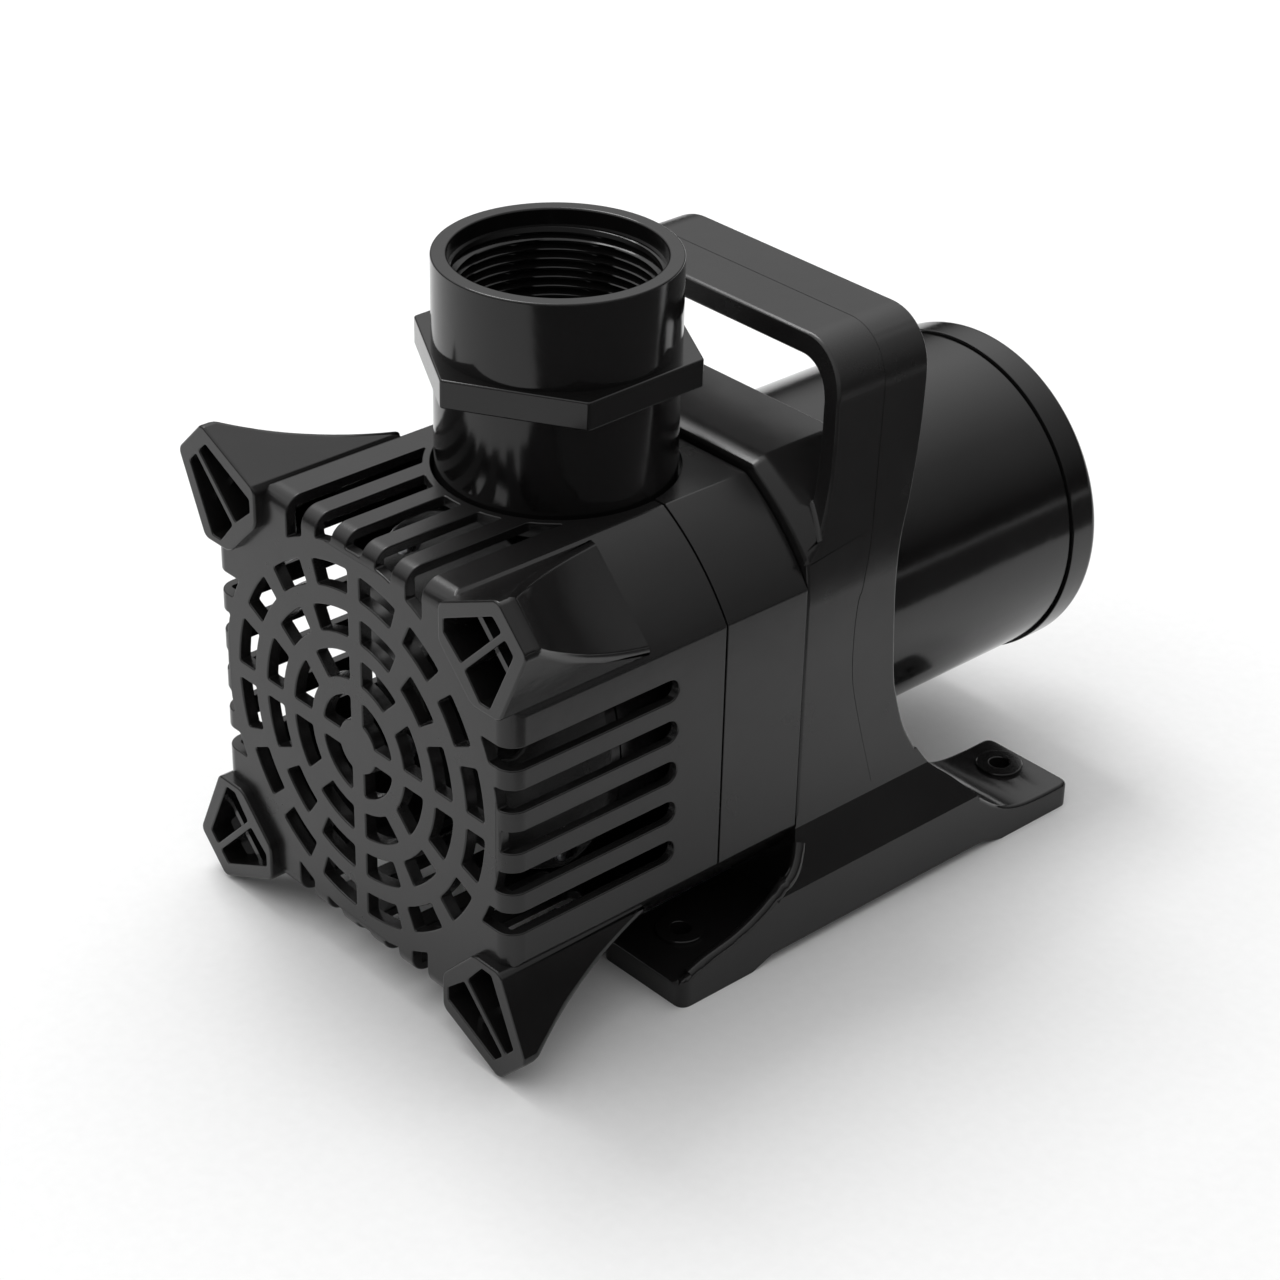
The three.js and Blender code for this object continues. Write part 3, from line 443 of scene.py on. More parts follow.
def show(obj, node, material, body="pump_body", angle=35):
    """Puts a finished shape into the frame, in place of the CAD node that it stands for."""
    clean_normals(obj, angle)
    origin = Vector((0, CAD_LOW.y + HORN_PROUD * MM, CAD_LOW.z - FOOT_Z * MM))
    obj.data.transform(Matrix.Translation(origin) @ Matrix.Scale(MM, 4))
    obj.name = obj.data.name = f"{node}_fine"
    obj.data.materials.clear()
    obj.data.materials.append(material)
    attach(obj, body)
    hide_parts(node)


SLOT_OF = {part["node"]: part["material_slot"] for part in frame["record"]["subparts"]}


# ------------------------------------------------------------------ materials
def shader(name, base, rough, metallic=0.0):
    """A new node material, with its Principled shader and a few shortcuts."""
    material = bpy.data.materials.new(name)
    material.use_nodes = True
    nodes, links = material.node_tree.nodes, material.node_tree.links
    principled = nodes["Principled BSDF"]
    principled.inputs["Base Color"].default_value = (*base, 1)
    principled.inputs["Roughness"].default_value = rough
    principled.inputs["Metallic"].default_value = metallic
    principled.inputs["IOR"].default_value = 1.43
    return material, nodes, links, principled


def noise(nodes, links, scale, detail=4.0, rough=0.55, stretch=(1, 1, 1)):
    """Noise that is fixed to the piece."""
    coords = nodes.new("ShaderNodeTexCoord")
    mapping = nodes.new("ShaderNodeMapping")
    mapping.inputs["Scale"].default_value = stretch
    texture = nodes.new("ShaderNodeTexNoise")
    texture.inputs["Scale"].default_value = scale
    texture.inputs["Detail"].default_value = detail
    texture.inputs["Roughness"].default_value = rough
    links.new(coords.outputs["Object"], mapping.inputs["Vector"])
    links.new(mapping.outputs["Vector"], texture.inputs["Vector"])
    return texture.outputs["Fac"]


def spread(nodes, links, value, low, high, start=0.3, end=0.7):
    """Maps a noise value onto the range from low to high."""
    node = nodes.new("ShaderNodeMapRange")
    node.inputs["From Min"].default_value = start
    node.inputs["From Max"].default_value = end
    node.inputs["To Min"].default_value = low
    node.inputs["To Max"].default_value = high
    links.new(value, node.inputs["Value"])
    return node.outputs["Result"]


def times(nodes, links, first, second):
    """The product of two values."""
    node = nodes.new("ShaderNodeMath")
    node.operation = "MULTIPLY"
    links.new(first, node.inputs[0])
    links.new(second, node.inputs[1])
    return node.outputs[0]


def from_shaft(nodes, links, low, high, near, far):
    """Maps the distance from the shaft's centre line, between near and far, onto low to high."""
    coords = nodes.new("ShaderNodeTexCoord")
    centred = nodes.new("ShaderNodeVectorMath")
    centred.operation = "ADD"
    centred.inputs[1].default_value = (0, 0, FOOT_Z * MM)
    flat = nodes.new("ShaderNodeVectorMath")
    flat.operation = "MULTIPLY"
    flat.inputs[1].default_value = (1, 0, 1)
    length = nodes.new("ShaderNodeVectorMath")
    length.operation = "LENGTH"
    links.new(coords.outputs["Object"], centred.inputs[0])
    links.new(centred.outputs[0], flat.inputs[0])
    links.new(flat.outputs[0], length.inputs[0])
    return spread(nodes, links, length.outputs["Value"], low, high, near, far)


def above_floor(nodes, links, low, high, near, far):
    """Maps the height, between near and far, onto low to high."""
    coords = nodes.new("ShaderNodeTexCoord")
    split = nodes.new("ShaderNodeSeparateXYZ")
    links.new(coords.outputs["Object"], split.inputs["Vector"])
    return spread(nodes, links, split.outputs["Z"], low, high, near, far)


def tint(nodes, links, value, dark, light):
    """A colour between dark and light, picked by a noise value."""
    ramp = nodes.new("ShaderNodeValToRGB")
    ramp.color_ramp.elements[0].position = 0.3
    ramp.color_ramp.elements[1].position = 0.7
    ramp.color_ramp.elements[0].color = (*dark, 1)
    ramp.color_ramp.elements[1].color = (*light, 1)
    links.new(value, ramp.inputs["Fac"])
    return ramp.outputs["Color"]


def bumps(nodes, links, principled, *layers):
    """Stacks bump layers, each (value, strength, height in metres)."""
    before = None
    for value, strength, height in layers:
        bump = nodes.new("ShaderNodeBump")
        bump.inputs["Strength"].default_value = strength
        bump.inputs["Distance"].default_value = height
        links.new(value, bump.inputs["Height"])
        if before is not None:
            links.new(before, bump.inputs["Normal"])
        before = bump.outputs["Normal"]
    links.new(before, principled.inputs["Normal"])


def moulded(name, dark, light, smooth_rough, worn_rough, grain, polish=None):
    """Moulded plastic: cloudy sheen, fine grain, faint flow marks and hairline scuffs."""
    material, nodes, links, principled = shader(name, dark, smooth_rough)
    clouds = noise(nodes, links, 28, 5)
    links.new(tint(nodes, links, clouds, dark, light), principled.inputs["Base Color"])
    patches = noise(nodes, links, 60, 6, 0.6)
    rough = spread(nodes, links, patches, smooth_rough, worn_rough)
    if polish == "horns":
        rough = times(nodes, links, rough, from_shaft(nodes, links, 1, 0.45, 0.0645, 0.0715))
    if polish == "feet":
        rough = times(nodes, links, rough, above_floor(nodes, links, 0.6, 1, 0.024, 0.032))
    links.new(rough, principled.inputs["Roughness"])
    scuffs = noise(nodes, links, 900, 2, 0.5, (1, 0.04, 1))
    fine = noise(nodes, links, 2600, 3)
    flow = noise(nodes, links, 45, 3)
    bumps(nodes, links, principled,
          (flow, 0.25, 0.0004), (fine, grain, 0.00006), (scuffs, grain * 0.5, 0.00003))
    return material


SATIN = (0.0075, 0.0072, 0.0072), (0.011, 0.0105, 0.0105), 0.2, 0.28, 0.2
SHINY = (0.005, 0.0048, 0.0048), (0.008, 0.0076, 0.0076), 0.1, 0.16, 0.1
BLACK = moulded("black_plastic", *SATIN)
CAGE = moulded("cage_plastic", *SATIN, "horns")
STAND = moulded("stand_plastic", *SATIN, "feet")
GLOSS = moulded("gloss_black_plastic", *SHINY)
WHITE = moulded("white_plastic", (0.62, 0.6, 0.55), (0.72, 0.7, 0.65), 0.4, 0.5, 0.3)
RUBBER = moulded("black_rubber", (0.008, 0.008, 0.008), (0.016, 0.016, 0.016), 0.6, 0.75, 0.6)
CERAMIC = moulded("ceramic", (0.72, 0.7, 0.65), (0.8, 0.78, 0.74), 0.12, 0.2, 0.05)


def metal(name, dark, light, rough, stretch, scale=400):
    """Metal with a directional grain."""
    material, nodes, links, principled = shader(name, dark, rough, 1.0)
    grain = noise(nodes, links, scale, 4, 0.6, stretch)
    links.new(tint(nodes, links, grain, dark, light), principled.inputs["Base Color"])
    uneven = spread(nodes, links, grain, rough * 0.8, rough * 1.3)
    links.new(uneven, principled.inputs["Roughness"])
    bumps(nodes, links, principled, (grain, 0.3, 0.00008))
    return material


STEEL = metal("stainless_steel", (0.5, 0.51, 0.53), (0.64, 0.65, 0.67), 0.28, (1, 6, 1))
LAMINATIONS = metal(
    "lamination_steel", (0.16, 0.165, 0.17), (0.34, 0.35, 0.36), 0.42, (0.02, 5, 0.02))
COPPER = metal("copper_winding", (0.42, 0.15, 0.055), (0.66, 0.27, 0.11), 0.3, (6, 1, 1))
FERRITE = metal("ferrite", (0.03, 0.03, 0.032), (0.07, 0.07, 0.075), 0.5, (1, 1, 1), 900)
FINISH = {
    "black_plastic": BLACK,
    "gloss_black_plastic": GLOSS,
    "white_plastic": WHITE,
    "black_rubber": RUBBER,
    "stainless_steel": STEEL,
    "ceramic": CERAMIC,
    "ferrite": FERRITE,
    "lamination_steel": LAMINATIONS,
    "copper_winding": COPPER,
}
for node_name, node_object in frame["nodes"].items():
    node_object.data.materials.clear()
    node_object.data.materials.append(FINISH[SLOT_OF[node_name]])


# ------------------------------------------------------------------ strainer cage
BAR = 2.3  # half of a straight bar's width
DIAGONAL_BAR = 3
# Rings of holes: (inner radius, outer radius, [(start, end) of the holes in a half quadrant])
RINGS = [
    (6.9, 12.9, [("bar", "bar")]),
    (17.5, 24.1, [("bar", "diagonal")]),
    (28.7, 34.9, [("bar", 25.7), (35.5, 54.5)]),
    (39.9, 46, [("bar", 19.3), (26.2, 41.3)]),
]


def edge_angle(edge, r, is_end):
    """The angle at radius r of a hole's edge, which may run along one of the straight bars."""
    lean = math.degrees(math.asin(BAR / r))
    if edge == "bar":
        return 90 - lean if is_end else lean
    if edge == "diagonal":
        return 45 - math.degrees(math.asin(DIAGONAL_BAR / r))
    return edge


def hole_outline(inner, outer, start, end):
    """A piece of a ring, between two edges."""
    out = arc(0, 0, outer, edge_angle(start, outer, False), edge_angle(end, outer, True), 8)
    back = arc(0, 0, inner, edge_angle(end, inner, True), edge_angle(start, inner, False), 8)
    return [*out, *back]


def grille_holes():
    """Cutters for the ringed grille. Each quadrant mirrors about its diagonal."""
    outlines = []
    for inner, outer, holes in RINGS:
        for start, end in holes:
            outline = hole_outline(inner, outer, start, end)
            outlines.append(outline)
            symmetric = start == end or (start != "bar" and start + end == 90)
            if not symmetric:
                outlines.append([(v, u) for u, v in outline])
    return [
        lipped_hole(
            [quarter_turn(p, quarter) for p in rounded(outline, 0.7)],
            0, FACE + 1, 0.45, draft=0.35)
        for quarter in range(4)
        for outline in outlines
    ]


def side_slots():
    """Five slots a side, which wrap over the front edge onto the grille."""
    cutters = []
    for side in range(4):
        for k in range(-2, 3):
            middle = k * SLOT_PITCH
            half = SLOT_W / 2
            end = arc(SLOT_END_Y - half, middle, half, -90, 90, 12)
            outline = [*end, (-1, middle + half), (-1, middle - half)]
            slot = prism(outline, HALF - SLOT_DEPTH, HALF + 1, "X")
            turn(slot, "Y", 90 * side)
            keep = [rod(SLOT_INNER_R, -2, FACE, steps=FINE)]
            if side == 3:
                keep.append(rod(TOP_SLOT_R, 0, 2 * HALF, (0, OUTLET_Y), "Z", 96))
            cutters.append(cut(slot, *keep))
    return cutters


def outlet_hole():
    return rod(OUTLET_HOLE_R, HALF / 2, 2 * HALF, (0, OUTLET_Y), "Z", 96)


def outlet_notch():
    """The outlet's hole, run out of the strainer's back edge so that the cage slides off."""
    way_out = box(-OUTLET_HOLE_R, OUTLET_HOLE_R, OUTLET_Y, SEAM_Y + 1, HALF / 2, 2 * HALF)
    return join(outlet_hole(), way_out)


HORN_OUTLINE = [
    (33.4, 54.3), (53.7, 63.5), (63.5, 53.7), (54.3, 33.4), (44.6, 33.4), (33.4, 44.6),
]
WINDOW_OUTLINE = [(35.5, 51), (52.1, 58.8), (54.9, 56.2), (41.4, 42.7), (35.5, 47.7)]


def horn(quarter):
    """A flared corner. Its back sweeps in a hollow curve from the thin tip to the body corner."""
    front = -HORN_PROUD
    back = bezier((HORN_TIP_D, 1.6), (70.2, 17.5), (CORNER_R + 0.35, HORN_END_Y), 24)
    sweep = [(50, front), (HORN_TIP_D, front), *back, (50, HORN_END_Y)]
    outline = [quarter_turn(p, -quarter) for p in HORN_OUTLINE]
    body = meet(prism(outline, front, HORN_END_Y, "Y"), across_corner(sweep, 60, quarter))
    soften(body, 1.5, 5, keep=lambda middle: front + 0.6 < middle.y < HORN_END_Y - 0.5)
    return soften(body, 0.6, 4, keep=lambda middle: middle.y < front + 0.1)


def horn_windows(quarter):
    """Two windows into a pocket, which a cross rib divides further in."""
    depth = 20
    windows = [
        lipped_hole(
            [quarter_turn(p, -quarter) for p in rounded(outline, 0.8)], -HORN_PROUD, depth, 0.4)
        for outline in (WINDOW_OUTLINE, [(v, u) for u, v in WINDOW_OUTLINE])
    ]
    pocket_outline = [(56, -4), (79.3, -4), (79.3, 2.5), (66.5, 15), (56, 12.5)]
    pocket = across_corner(pocket_outline, 60, quarter)
    rib = across_corner([(68.2, 1), (69.8, 1), (69.8, depth), (68.2, depth)], 60, quarter)
    return cut(meet(join(*windows), pocket), rib)


def rounded_front(axis):
    """A slab that is as wide as the body and rounded along its front edges."""
    far = SEAM_Y + 10
    outline = [
        (far, -HALF),
        *arc(EDGE_R, -HALF + EDGE_R, EDGE_R, 270, 180, 10),
        *arc(EDGE_R, HALF - EDGE_R, EDGE_R, 180, 90, 10),
        (far, HALF),
    ]
    if axis == "Z":
        outline = [(x, y) for y, x in outline]
    return prism(outline, -HALF - 1, HALF + 1, axis)


def strainer_cage():
    block = meet(prism(inset(0), 0, SEAM_Y - GAP, "Y"), rounded_front("X"), rounded_front("Z"))
    corner_fill = 57.5
    front_cavity = prism(body_outline(HALF - WALL, HALF - WALL, corner_fill), FACE, 17, "Y")
    cavity = prism(inset(WALL), 16, SEAM_Y + 1, "Y")
    inside = join(front_cavity, cavity)
    horns = join(*[horn(quarter) for quarter in range(4)])
    combine(horns, "DIFFERENCE", [inside], discard=False)
    cut(block, inside, *side_slots(), outlet_notch())
    soften(block, 0.4, 3)
    join(block, horns)
    return cut(block, *grille_holes(), *[horn_windows(quarter) for quarter in range(4)])


show(strainer_cage(), "strainer_cage", CAGE, "strainer")


# ------------------------------------------------------------------ rear cage
FLANGE_Y = 84.3
FLANGE_R = 50
REAR_PLATE_Y = 81
BRACKET_SCREW_AT = 40.5
CORNERS = [(1, 1), (-1, 1), (-1, -1), (1, -1)]


def rear_cage():
    shell = prism(inset(0), SEAM_Y, BRACKET_Y - GAP, "Y")
    lip = prism(inset(WALL + GAP), 61, SEAM_Y + 1, "Y")
    cavity = prism(inset(WALL + GAP + 1.8), 60, REAR_PLATE_Y, "Y")
    bores = [
        rod(FLANGE_R - 2, REAR_PLATE_Y - 1, FLANGE_Y, steps=96),
        rod(FLANGE_R + 2 * GAP, FLANGE_Y - GAP, BRACKET_Y, steps=96),
    ]
    pilots = [
        rod(1.7, REAR_PLATE_Y - 1, BRACKET_Y, (sx * BRACKET_SCREW_AT, sz * BRACKET_SCREW_AT))
        for sx, sz in CORNERS
    ]
    return soften(cut(join(shell, lip), cavity, *bores, *pilots, outlet_hole()), 0.3, 2)


show(rear_cage(), "rear_cage", BLACK)


# ------------------------------------------------------------------ handle and stand
# Side views, as (y, z)
HANDLE_FRONT = [
    (108.5, HANDLE_TOP), (104.9, 73.9), (102.5, 63), (99.5, 53), (93.9, 40.4), (BRACKET_Y, 32.6),
]
HANDLE_BACK = [
    (131.5, -27), (127, -19), (124, -10), (122.4, -3), (121.2, 12), (120.8, 26), (122.2, 35.8),
    (126.6, 46.7), (131, 59.4), (134.4, 72.1), (137.3, HANDLE_TOP),
]
SLOPE_TOP_Z = -34  # the skirt slopes out from here
SLOPE_LOW_Z = -46  # to here
SKIN = 3
RING_HALF = 56.6
RING_R = 66.2
RING_CHAMFER = 2.1
RING_CHAMFER_LENGTH = 4.5
FOOT_TOP_FRONT = [
    (FOOT_FRONT_Y, -56.5), (50, -55.2), (56, -53.2), (66, -51.2), (74, -48), (81, -43.4),
    (86.5, -37.2), (91, -30),
]
FOOT_TOP_BACK = [
    (131, -26), (137, -34), (143, -39.4), (149.4, -46), (154.5, -50.4), (160, -54), (167, -56.2),
    (176, PAD_Z), (FOOT_BACK_Y, PAD_Z),
]
UNDERCUT = 2.4
UNDERSIDE = [
    (FOOT_BACK_Y, FOOT_Z), (160, FOOT_Z), (152.5, FOOT_Z + UNDERCUT), (77.4, FOOT_Z + UNDERCUT),
    (70.8, FOOT_Z), (FOOT_FRONT_Y, FOOT_Z),
]
FOOT_HOLES_X = 44.5
FOOT_HOLES_Y = [62.7, 177.5]
FOOT_HOLE_R = 2.6
FRONT_CORNER_Y = 81  # where the rim of the front pad turns in towards the ring


def over_the_top(reach, radius):
    """The handle's arch from right to left, as (x, z): legs that bend inwards and a rounded top."""
    turn_z = HANDLE_TOP - HANDLE_R
    blend_x = HALF - HANDLE_BLEND_R
    blend_z = HANDLE_LEAN_Z - HANDLE_BLEND_R * math.tan(math.radians(HANDLE_LEAN / 2))
    blend_r = reach - blend_x
    return [
        *arc(blend_x, blend_z, blend_r, 0, HANDLE_LEAN, 8),
        *arc(HANDLE_TURN_X, turn_z, radius, HANDLE_LEAN, 90, 20),
        *arc(-HANDLE_TURN_X, turn_z, radius, 90, 180 - HANDLE_LEAN, 20),
        *arc(-blend_x, blend_z, blend_r, 180 - HANDLE_LEAN, 180, 8),
    ]


def handle_and_plates():
    """One band: up one side, over the top and down the other, cut to its side view."""
    low = SLOPE_TOP_Z + 2
    inner = HALF - HANDLE_T
    arch = prism([
        (HALF, low), *over_the_top(HALF, HANDLE_R), (-HALF, low), (-inner, low),
        *reversed(over_the_top(inner, HANDLE_R - HANDLE_T)), (inner, low),
    ], BRACKET_Y - 1, 150, "Y")
    back = smooth([(135.8, low - 1), *HANDLE_BACK], 4)
    side = [(BRACKET_Y, low - 1), *back, *smooth(HANDLE_FRONT, 4)]
    return meet(arch, prism(side, -HALF - 1, HALF + 1, "X"))


def bracket_ring():
    """The square collar that meets the rear cage, with a chamfered front and ribs behind."""
    front = body_outline(RING_HALF, RING_HALF, RING_R, 24)
    wide = RING_HALF + RING_CHAMFER
    back = body_outline(wide, wide, RING_R + RING_CHAMFER, 24)
    rows = [(front, BRACKET_Y), (back, BRACKET_Y + RING_CHAMFER_LENGTH), (back, RING_END_Y)]
    inside_legs = prism([(HALF, -70), *over_the_top(HALF, HANDLE_R), (-HALF, -70)],
                        BRACKET_Y - 1, RING_END_Y + 1, "Y")
    ring = meet(loft(rows, "Y"), inside_legs)
    hollow_outline = body_outline(HALF - SKIN, RING_HALF - 1, RING_R - 1.6)
    hollow = prism(hollow_outline, BRACKET_Y + 3.5, RING_END_Y + 1, "Y")
    ribs = [turn(box(-75, 75, RING_END_Y - 42, RING_END_Y - 2, -1.1, 1.1), "Y", degrees)
            for degrees in (22.5, 67.5, 112.5, 157.5)]
    cut(hollow, rod(MOTOR_R + 0.5 + SKIN, BRACKET_Y, RING_END_Y + 2, steps=FINE), *ribs)
    return cut(ring, hollow)


def foot(sign):
    """A foot rail: a sloped skirt below the side plate, with an open pad at each end."""
    section = [
        (FOOT_IN_X, FOOT_Z - 1), (FOOT_OUT_X, FOOT_Z - 1), (FOOT_OUT_X, SLOPE_LOW_Z),
        (HALF, SLOPE_TOP_Z), (HALF, SLOPE_TOP_Z + 6), (FOOT_IN_X, SLOPE_TOP_Z + 6),
    ]
    block = prism(section, FOOT_FRONT_Y, FOOT_BACK_Y, "Y")
    side_view = [*smooth(FOOT_TOP_FRONT, 5), *smooth(FOOT_TOP_BACK, 5), *UNDERSIDE]
    plan = rounded([
        (FOOT_IN_X, FOOT_FRONT_Y), (FOOT_OUT_X, FOOT_FRONT_Y), (FOOT_OUT_X, FOOT_BACK_Y),
        (FOOT_IN_X, FOOT_BACK_Y)], 3, 8)
    side_block = prism(side_view, FOOT_IN_X - 1, FOOT_OUT_X + 1, "X")
    meet(block, side_block, prism(plan, FOOT_Z - 5, 0, "Z"))
    open_x = FOOT_IN_X - 5
    rim_width = 2.6
    corner = 12
    pocket_x = FOOT_OUT_X - rim_width
    front_pocket = prism([
        (open_x, FOOT_FRONT_Y - 5), (pocket_x, FOOT_FRONT_Y - 5),
        *arc(pocket_x - corner, FRONT_CORNER_Y, corner, 0, 52.5, 14), (open_x, BRACKET_Y + 0.1),
    ], PAD_Z, 0, "Z")
    inner_x = HALF - HANDLE_T
    hollow_top = -20
    hollow = prism([
        (open_x, PAD_Z), (FOOT_OUT_X - SKIN, PAD_Z), (FOOT_OUT_X - SKIN, SLOPE_LOW_Z - 1),
        (inner_x, SLOPE_TOP_Z - 1), (inner_x, hollow_top), (open_x, hollow_top),
    ], BRACKET_Y + SKIN, 240, "Y")
    web = 2.4 * 0.75
    hollow_side = [
        *smooth([(y - web, z - web) for y, z in FOOT_TOP_BACK[:6]], 5),
        (160, PAD_Z - 2), (90, PAD_Z - 2), (90, hollow_top), (124, hollow_top),
    ]
    meet(hollow, prism(hollow_side, open_x - 1, FOOT_OUT_X, "X"))
    cut(block, front_pocket, hollow)
    soften(block, 1.1, 4, keep=lambda m: m.z > FOOT_Z + 3 and (m.y < 89 or m.y > 150))
    bosses = [
        soften(rod(6.2, PAD_Z - 1, PAD_Z + 1, (FOOT_HOLES_X, y), "Z", 48), 0.5)
        for y in FOOT_HOLES_Y
    ]
    join(block, foot_rim(), *bosses)
    holes = [
        lipped_hole(arc(FOOT_HOLES_X, y, FOOT_HOLE_R, 0, 352.5, 47),
                    -PAD_Z - 1, -FOOT_Z + 2, 0.5, "DOWN")
        for y in FOOT_HOLES_Y
    ]
    cut(block, *holes)
    if sign < 0:
        block.data.transform(Matrix.Scale(-1, 4, (1, 0, 0)))
        block.data.flip_normals()
    return block


PLATE_LINE = [(108.3, 25), (107.6, 22), (107, 14), (107.4, 2), (110.5, -11), (116.4, -31)]


def parting_line():
    """The mould's parting line: a hairline ridge round the handle and down both side plates."""
    proud = 0.07
    width = 0.24
    reach = HALF + proud
    back_lean = 0.239
    over = prism([
        *over_the_top(reach, HANDLE_R + proud), *reversed(over_the_top(HALF - 1, HANDLE_R - 1)),
    ], 110.6, 110.85, "Y")
    for vertex in over.data.vertices:
        vertex.co.y += back_lean * (vertex.co.z - HANDLE_LEAN_Z)
    middle = smooth(PLATE_LINE, 5)
    left = [(y - width / 2, z) for y, z in middle]
    right = [(y + width / 2, z) for y, z in reversed(middle)]
    down = prism([*left, *right], -reach, reach, "X")
    cut(down, box(1 - HALF, HALF - 1, 100, 130, -40, 50))
    return over, down


def foot_rim():
    """A rounded lip that runs round the front pad and up to the ring."""
    turn_x, reach = 47.2, 12.9
    sunk = 1.1
    straight = [(y, z) for y, z in smooth(FOOT_TOP_FRONT, 5) if 50 < y < FRONT_CORNER_Y - 0.1]
    path = [(turn_x + reach, y, z - sunk) for y, z in straight]
    steepness = (SLOPE_TOP_Z - SLOPE_LOW_Z) / (FOOT_OUT_X - HALF)
    for x, y in arc(turn_x, FRONT_CORNER_Y, reach, 0, 46, 12):
        path.append((x, y, SLOPE_LOW_Z + steepness * (FOOT_OUT_X - x) - sunk))
    return pipe(path, 1.7, 20)


def bracket():
    """The one moulding: ring, handle, side plates and both feet."""
    whole = join(bracket_ring(), handle_and_plates())
    clear_body = prism(inset(-0.4), 30, BRACKET_Y, "Y")
    screws = [
        rod(2.2, BRACKET_Y - 1, BRACKET_Y + 5, (sx * BRACKET_SCREW_AT, sz * BRACKET_SCREW_AT))
        for sx, sz in CORNERS
    ]
    bore = rod(MOTOR_R + 0.5, BRACKET_Y - 1, 200, steps=FINE)
    cut(whole, bore, *screws)
    soften(whole, 0.8, 4, keep=lambda m: m.z > SLOPE_TOP_Z + 2.5)
    feet = join(foot(1), foot(-1))
    cut(feet, clear_body)
    return join(whole, feet, *parting_line())


show(bracket(), "handle_and_stand", STAND, angle=27)


# ------------------------------------------------------------------ outlet adapter
ADAPTER_BOTTOM = 49
SPIGOT_R = 20.6
THREAD_DEPTH = 1.1


def thread_tap():
    """The male form of the outlet's pipe thread: a right-hand helix of rounded V grooves."""
    rows = 8
    low, high = 74.5, OUTLET_TOP - 4.2
    count = round((high - low) / THREAD_PITCH * rows)

    def radius(r, h, angle):
        if r < THREAD_R:
            return r
        phase = (h / THREAD_PITCH - angle / (2 * math.pi)) % 1
        ridge = min(1, max(0, 1.25 * (1 - abs(2 * phase - 1)) - 0.1))
        runout = min(1, max(0, (h - low) / 5))
        return THREAD_R - THREAD_DEPTH + 1.4 * THREAD_DEPTH * ridge * runout

    heights = [low + (high - low) * i / count for i in range(count + 1)]
    profile = [(0, low - 0.5), (THREAD_R, low - 0.5), *[(THREAD_R, h) for h in heights],
               (THREAD_R + 0.01, high), (0, high)]
    return turned(profile, (0, OUTLET_Y), "Z", FINE, radius)


def outlet_adapter():
    middle = (0, OUTLET_Y)
    collar = soften(rod(OUTLET_R, HEX_BOTTOM + 1, OUTLET_TOP, middle, "Z", FINEST), 0.5, 4)
    base = soften(rod(OUTLET_R - 0.3, HALF - 3, HEX_BOTTOM + 1, middle, "Z", FINEST), 0.3)
    corners = [on_circle(HEX_CORNER_R, degrees) for degrees in range(-29, 331, 60)]
    corners = [(x, OUTLET_Y + y) for x, y in corners]
    nut = soften(prism(rounded(corners, 1.2, 5), HEX_BOTTOM, HEX_TOP, "Z"), 0.5, 4)
    spigot = rod(SPIGOT_R, ADAPTER_BOTTOM, HALF, middle, "Z", FINE)
    whole = join(collar, base, nut, spigot)
    entry_r = THREAD_R + 0.7
    crest_r = THREAD_R - 1.4
    lip_r = 0.6
    lip = arc(entry_r + lip_r, OUTLET_TOP - lip_r, lip_r, 180, 90, 6)
    bore = turned([
        (0, ADAPTER_BOTTOM - 1), (NECK_R, ADAPTER_BOTTOM - 1), (NECK_R, 71), (crest_r, 75.5),
        (crest_r, OUTLET_TOP - 7.5), (entry_r - 0.8, OUTLET_TOP - 4.2), (entry_r, OUTLET_TOP - 4),
        *lip, (entry_r + lip_r, OUTLET_TOP + 1), (0, OUTLET_TOP + 1),
    ], middle, "Z", FINEST)
    groove_r = SPIGOT_R - 1.2
    groove = turned([
        (groove_r, 49.6), (SPIGOT_R + 1, 49.6), (SPIGOT_R + 1, 51.2), (groove_r, 51.2),
    ], middle, "Z")
    return cut(whole, bore, groove, thread_tap())


show(outlet_adapter(), "outlet_adapter", GLOSS)


# ------------------------------------------------------------------ motor
HOUSING_WALL = 2.8
CAP_SCREW_R = 36.6
CAP_SINK = 2.9  # depth of the holes for the end cap's screw heads
CAN_R = 17.2
DIAGONALS = [45, 135, 225, 315]


def motor_housing():
    inside = MOTOR_R - HOUSING_WALL
    shell = turned([
        (CAN_R + GAP, FLANGE_Y), (FLANGE_R, FLANGE_Y), (FLANGE_R, BRACKET_Y - GAP),
        (MOTOR_R, BRACKET_Y - GAP), (MOTOR_R, CAP_Y - GAP), (inside, CAP_Y - GAP),
        (inside, FLANGE_Y + 4), (CAN_R + GAP, FLANGE_Y + 4),
    ], steps=FINEST)
    bosses = [rod(4.2, 172, 193.4, on_circle(CAP_SCREW_R + 1.5, a)) for a in DIAGONALS]
    pilots = [rod(1.7, 180, 195, on_circle(CAP_SCREW_R, a)) for a in DIAGONALS]
    return soften(cut(join(shell, *bosses), *pilots), 0.35, 2)


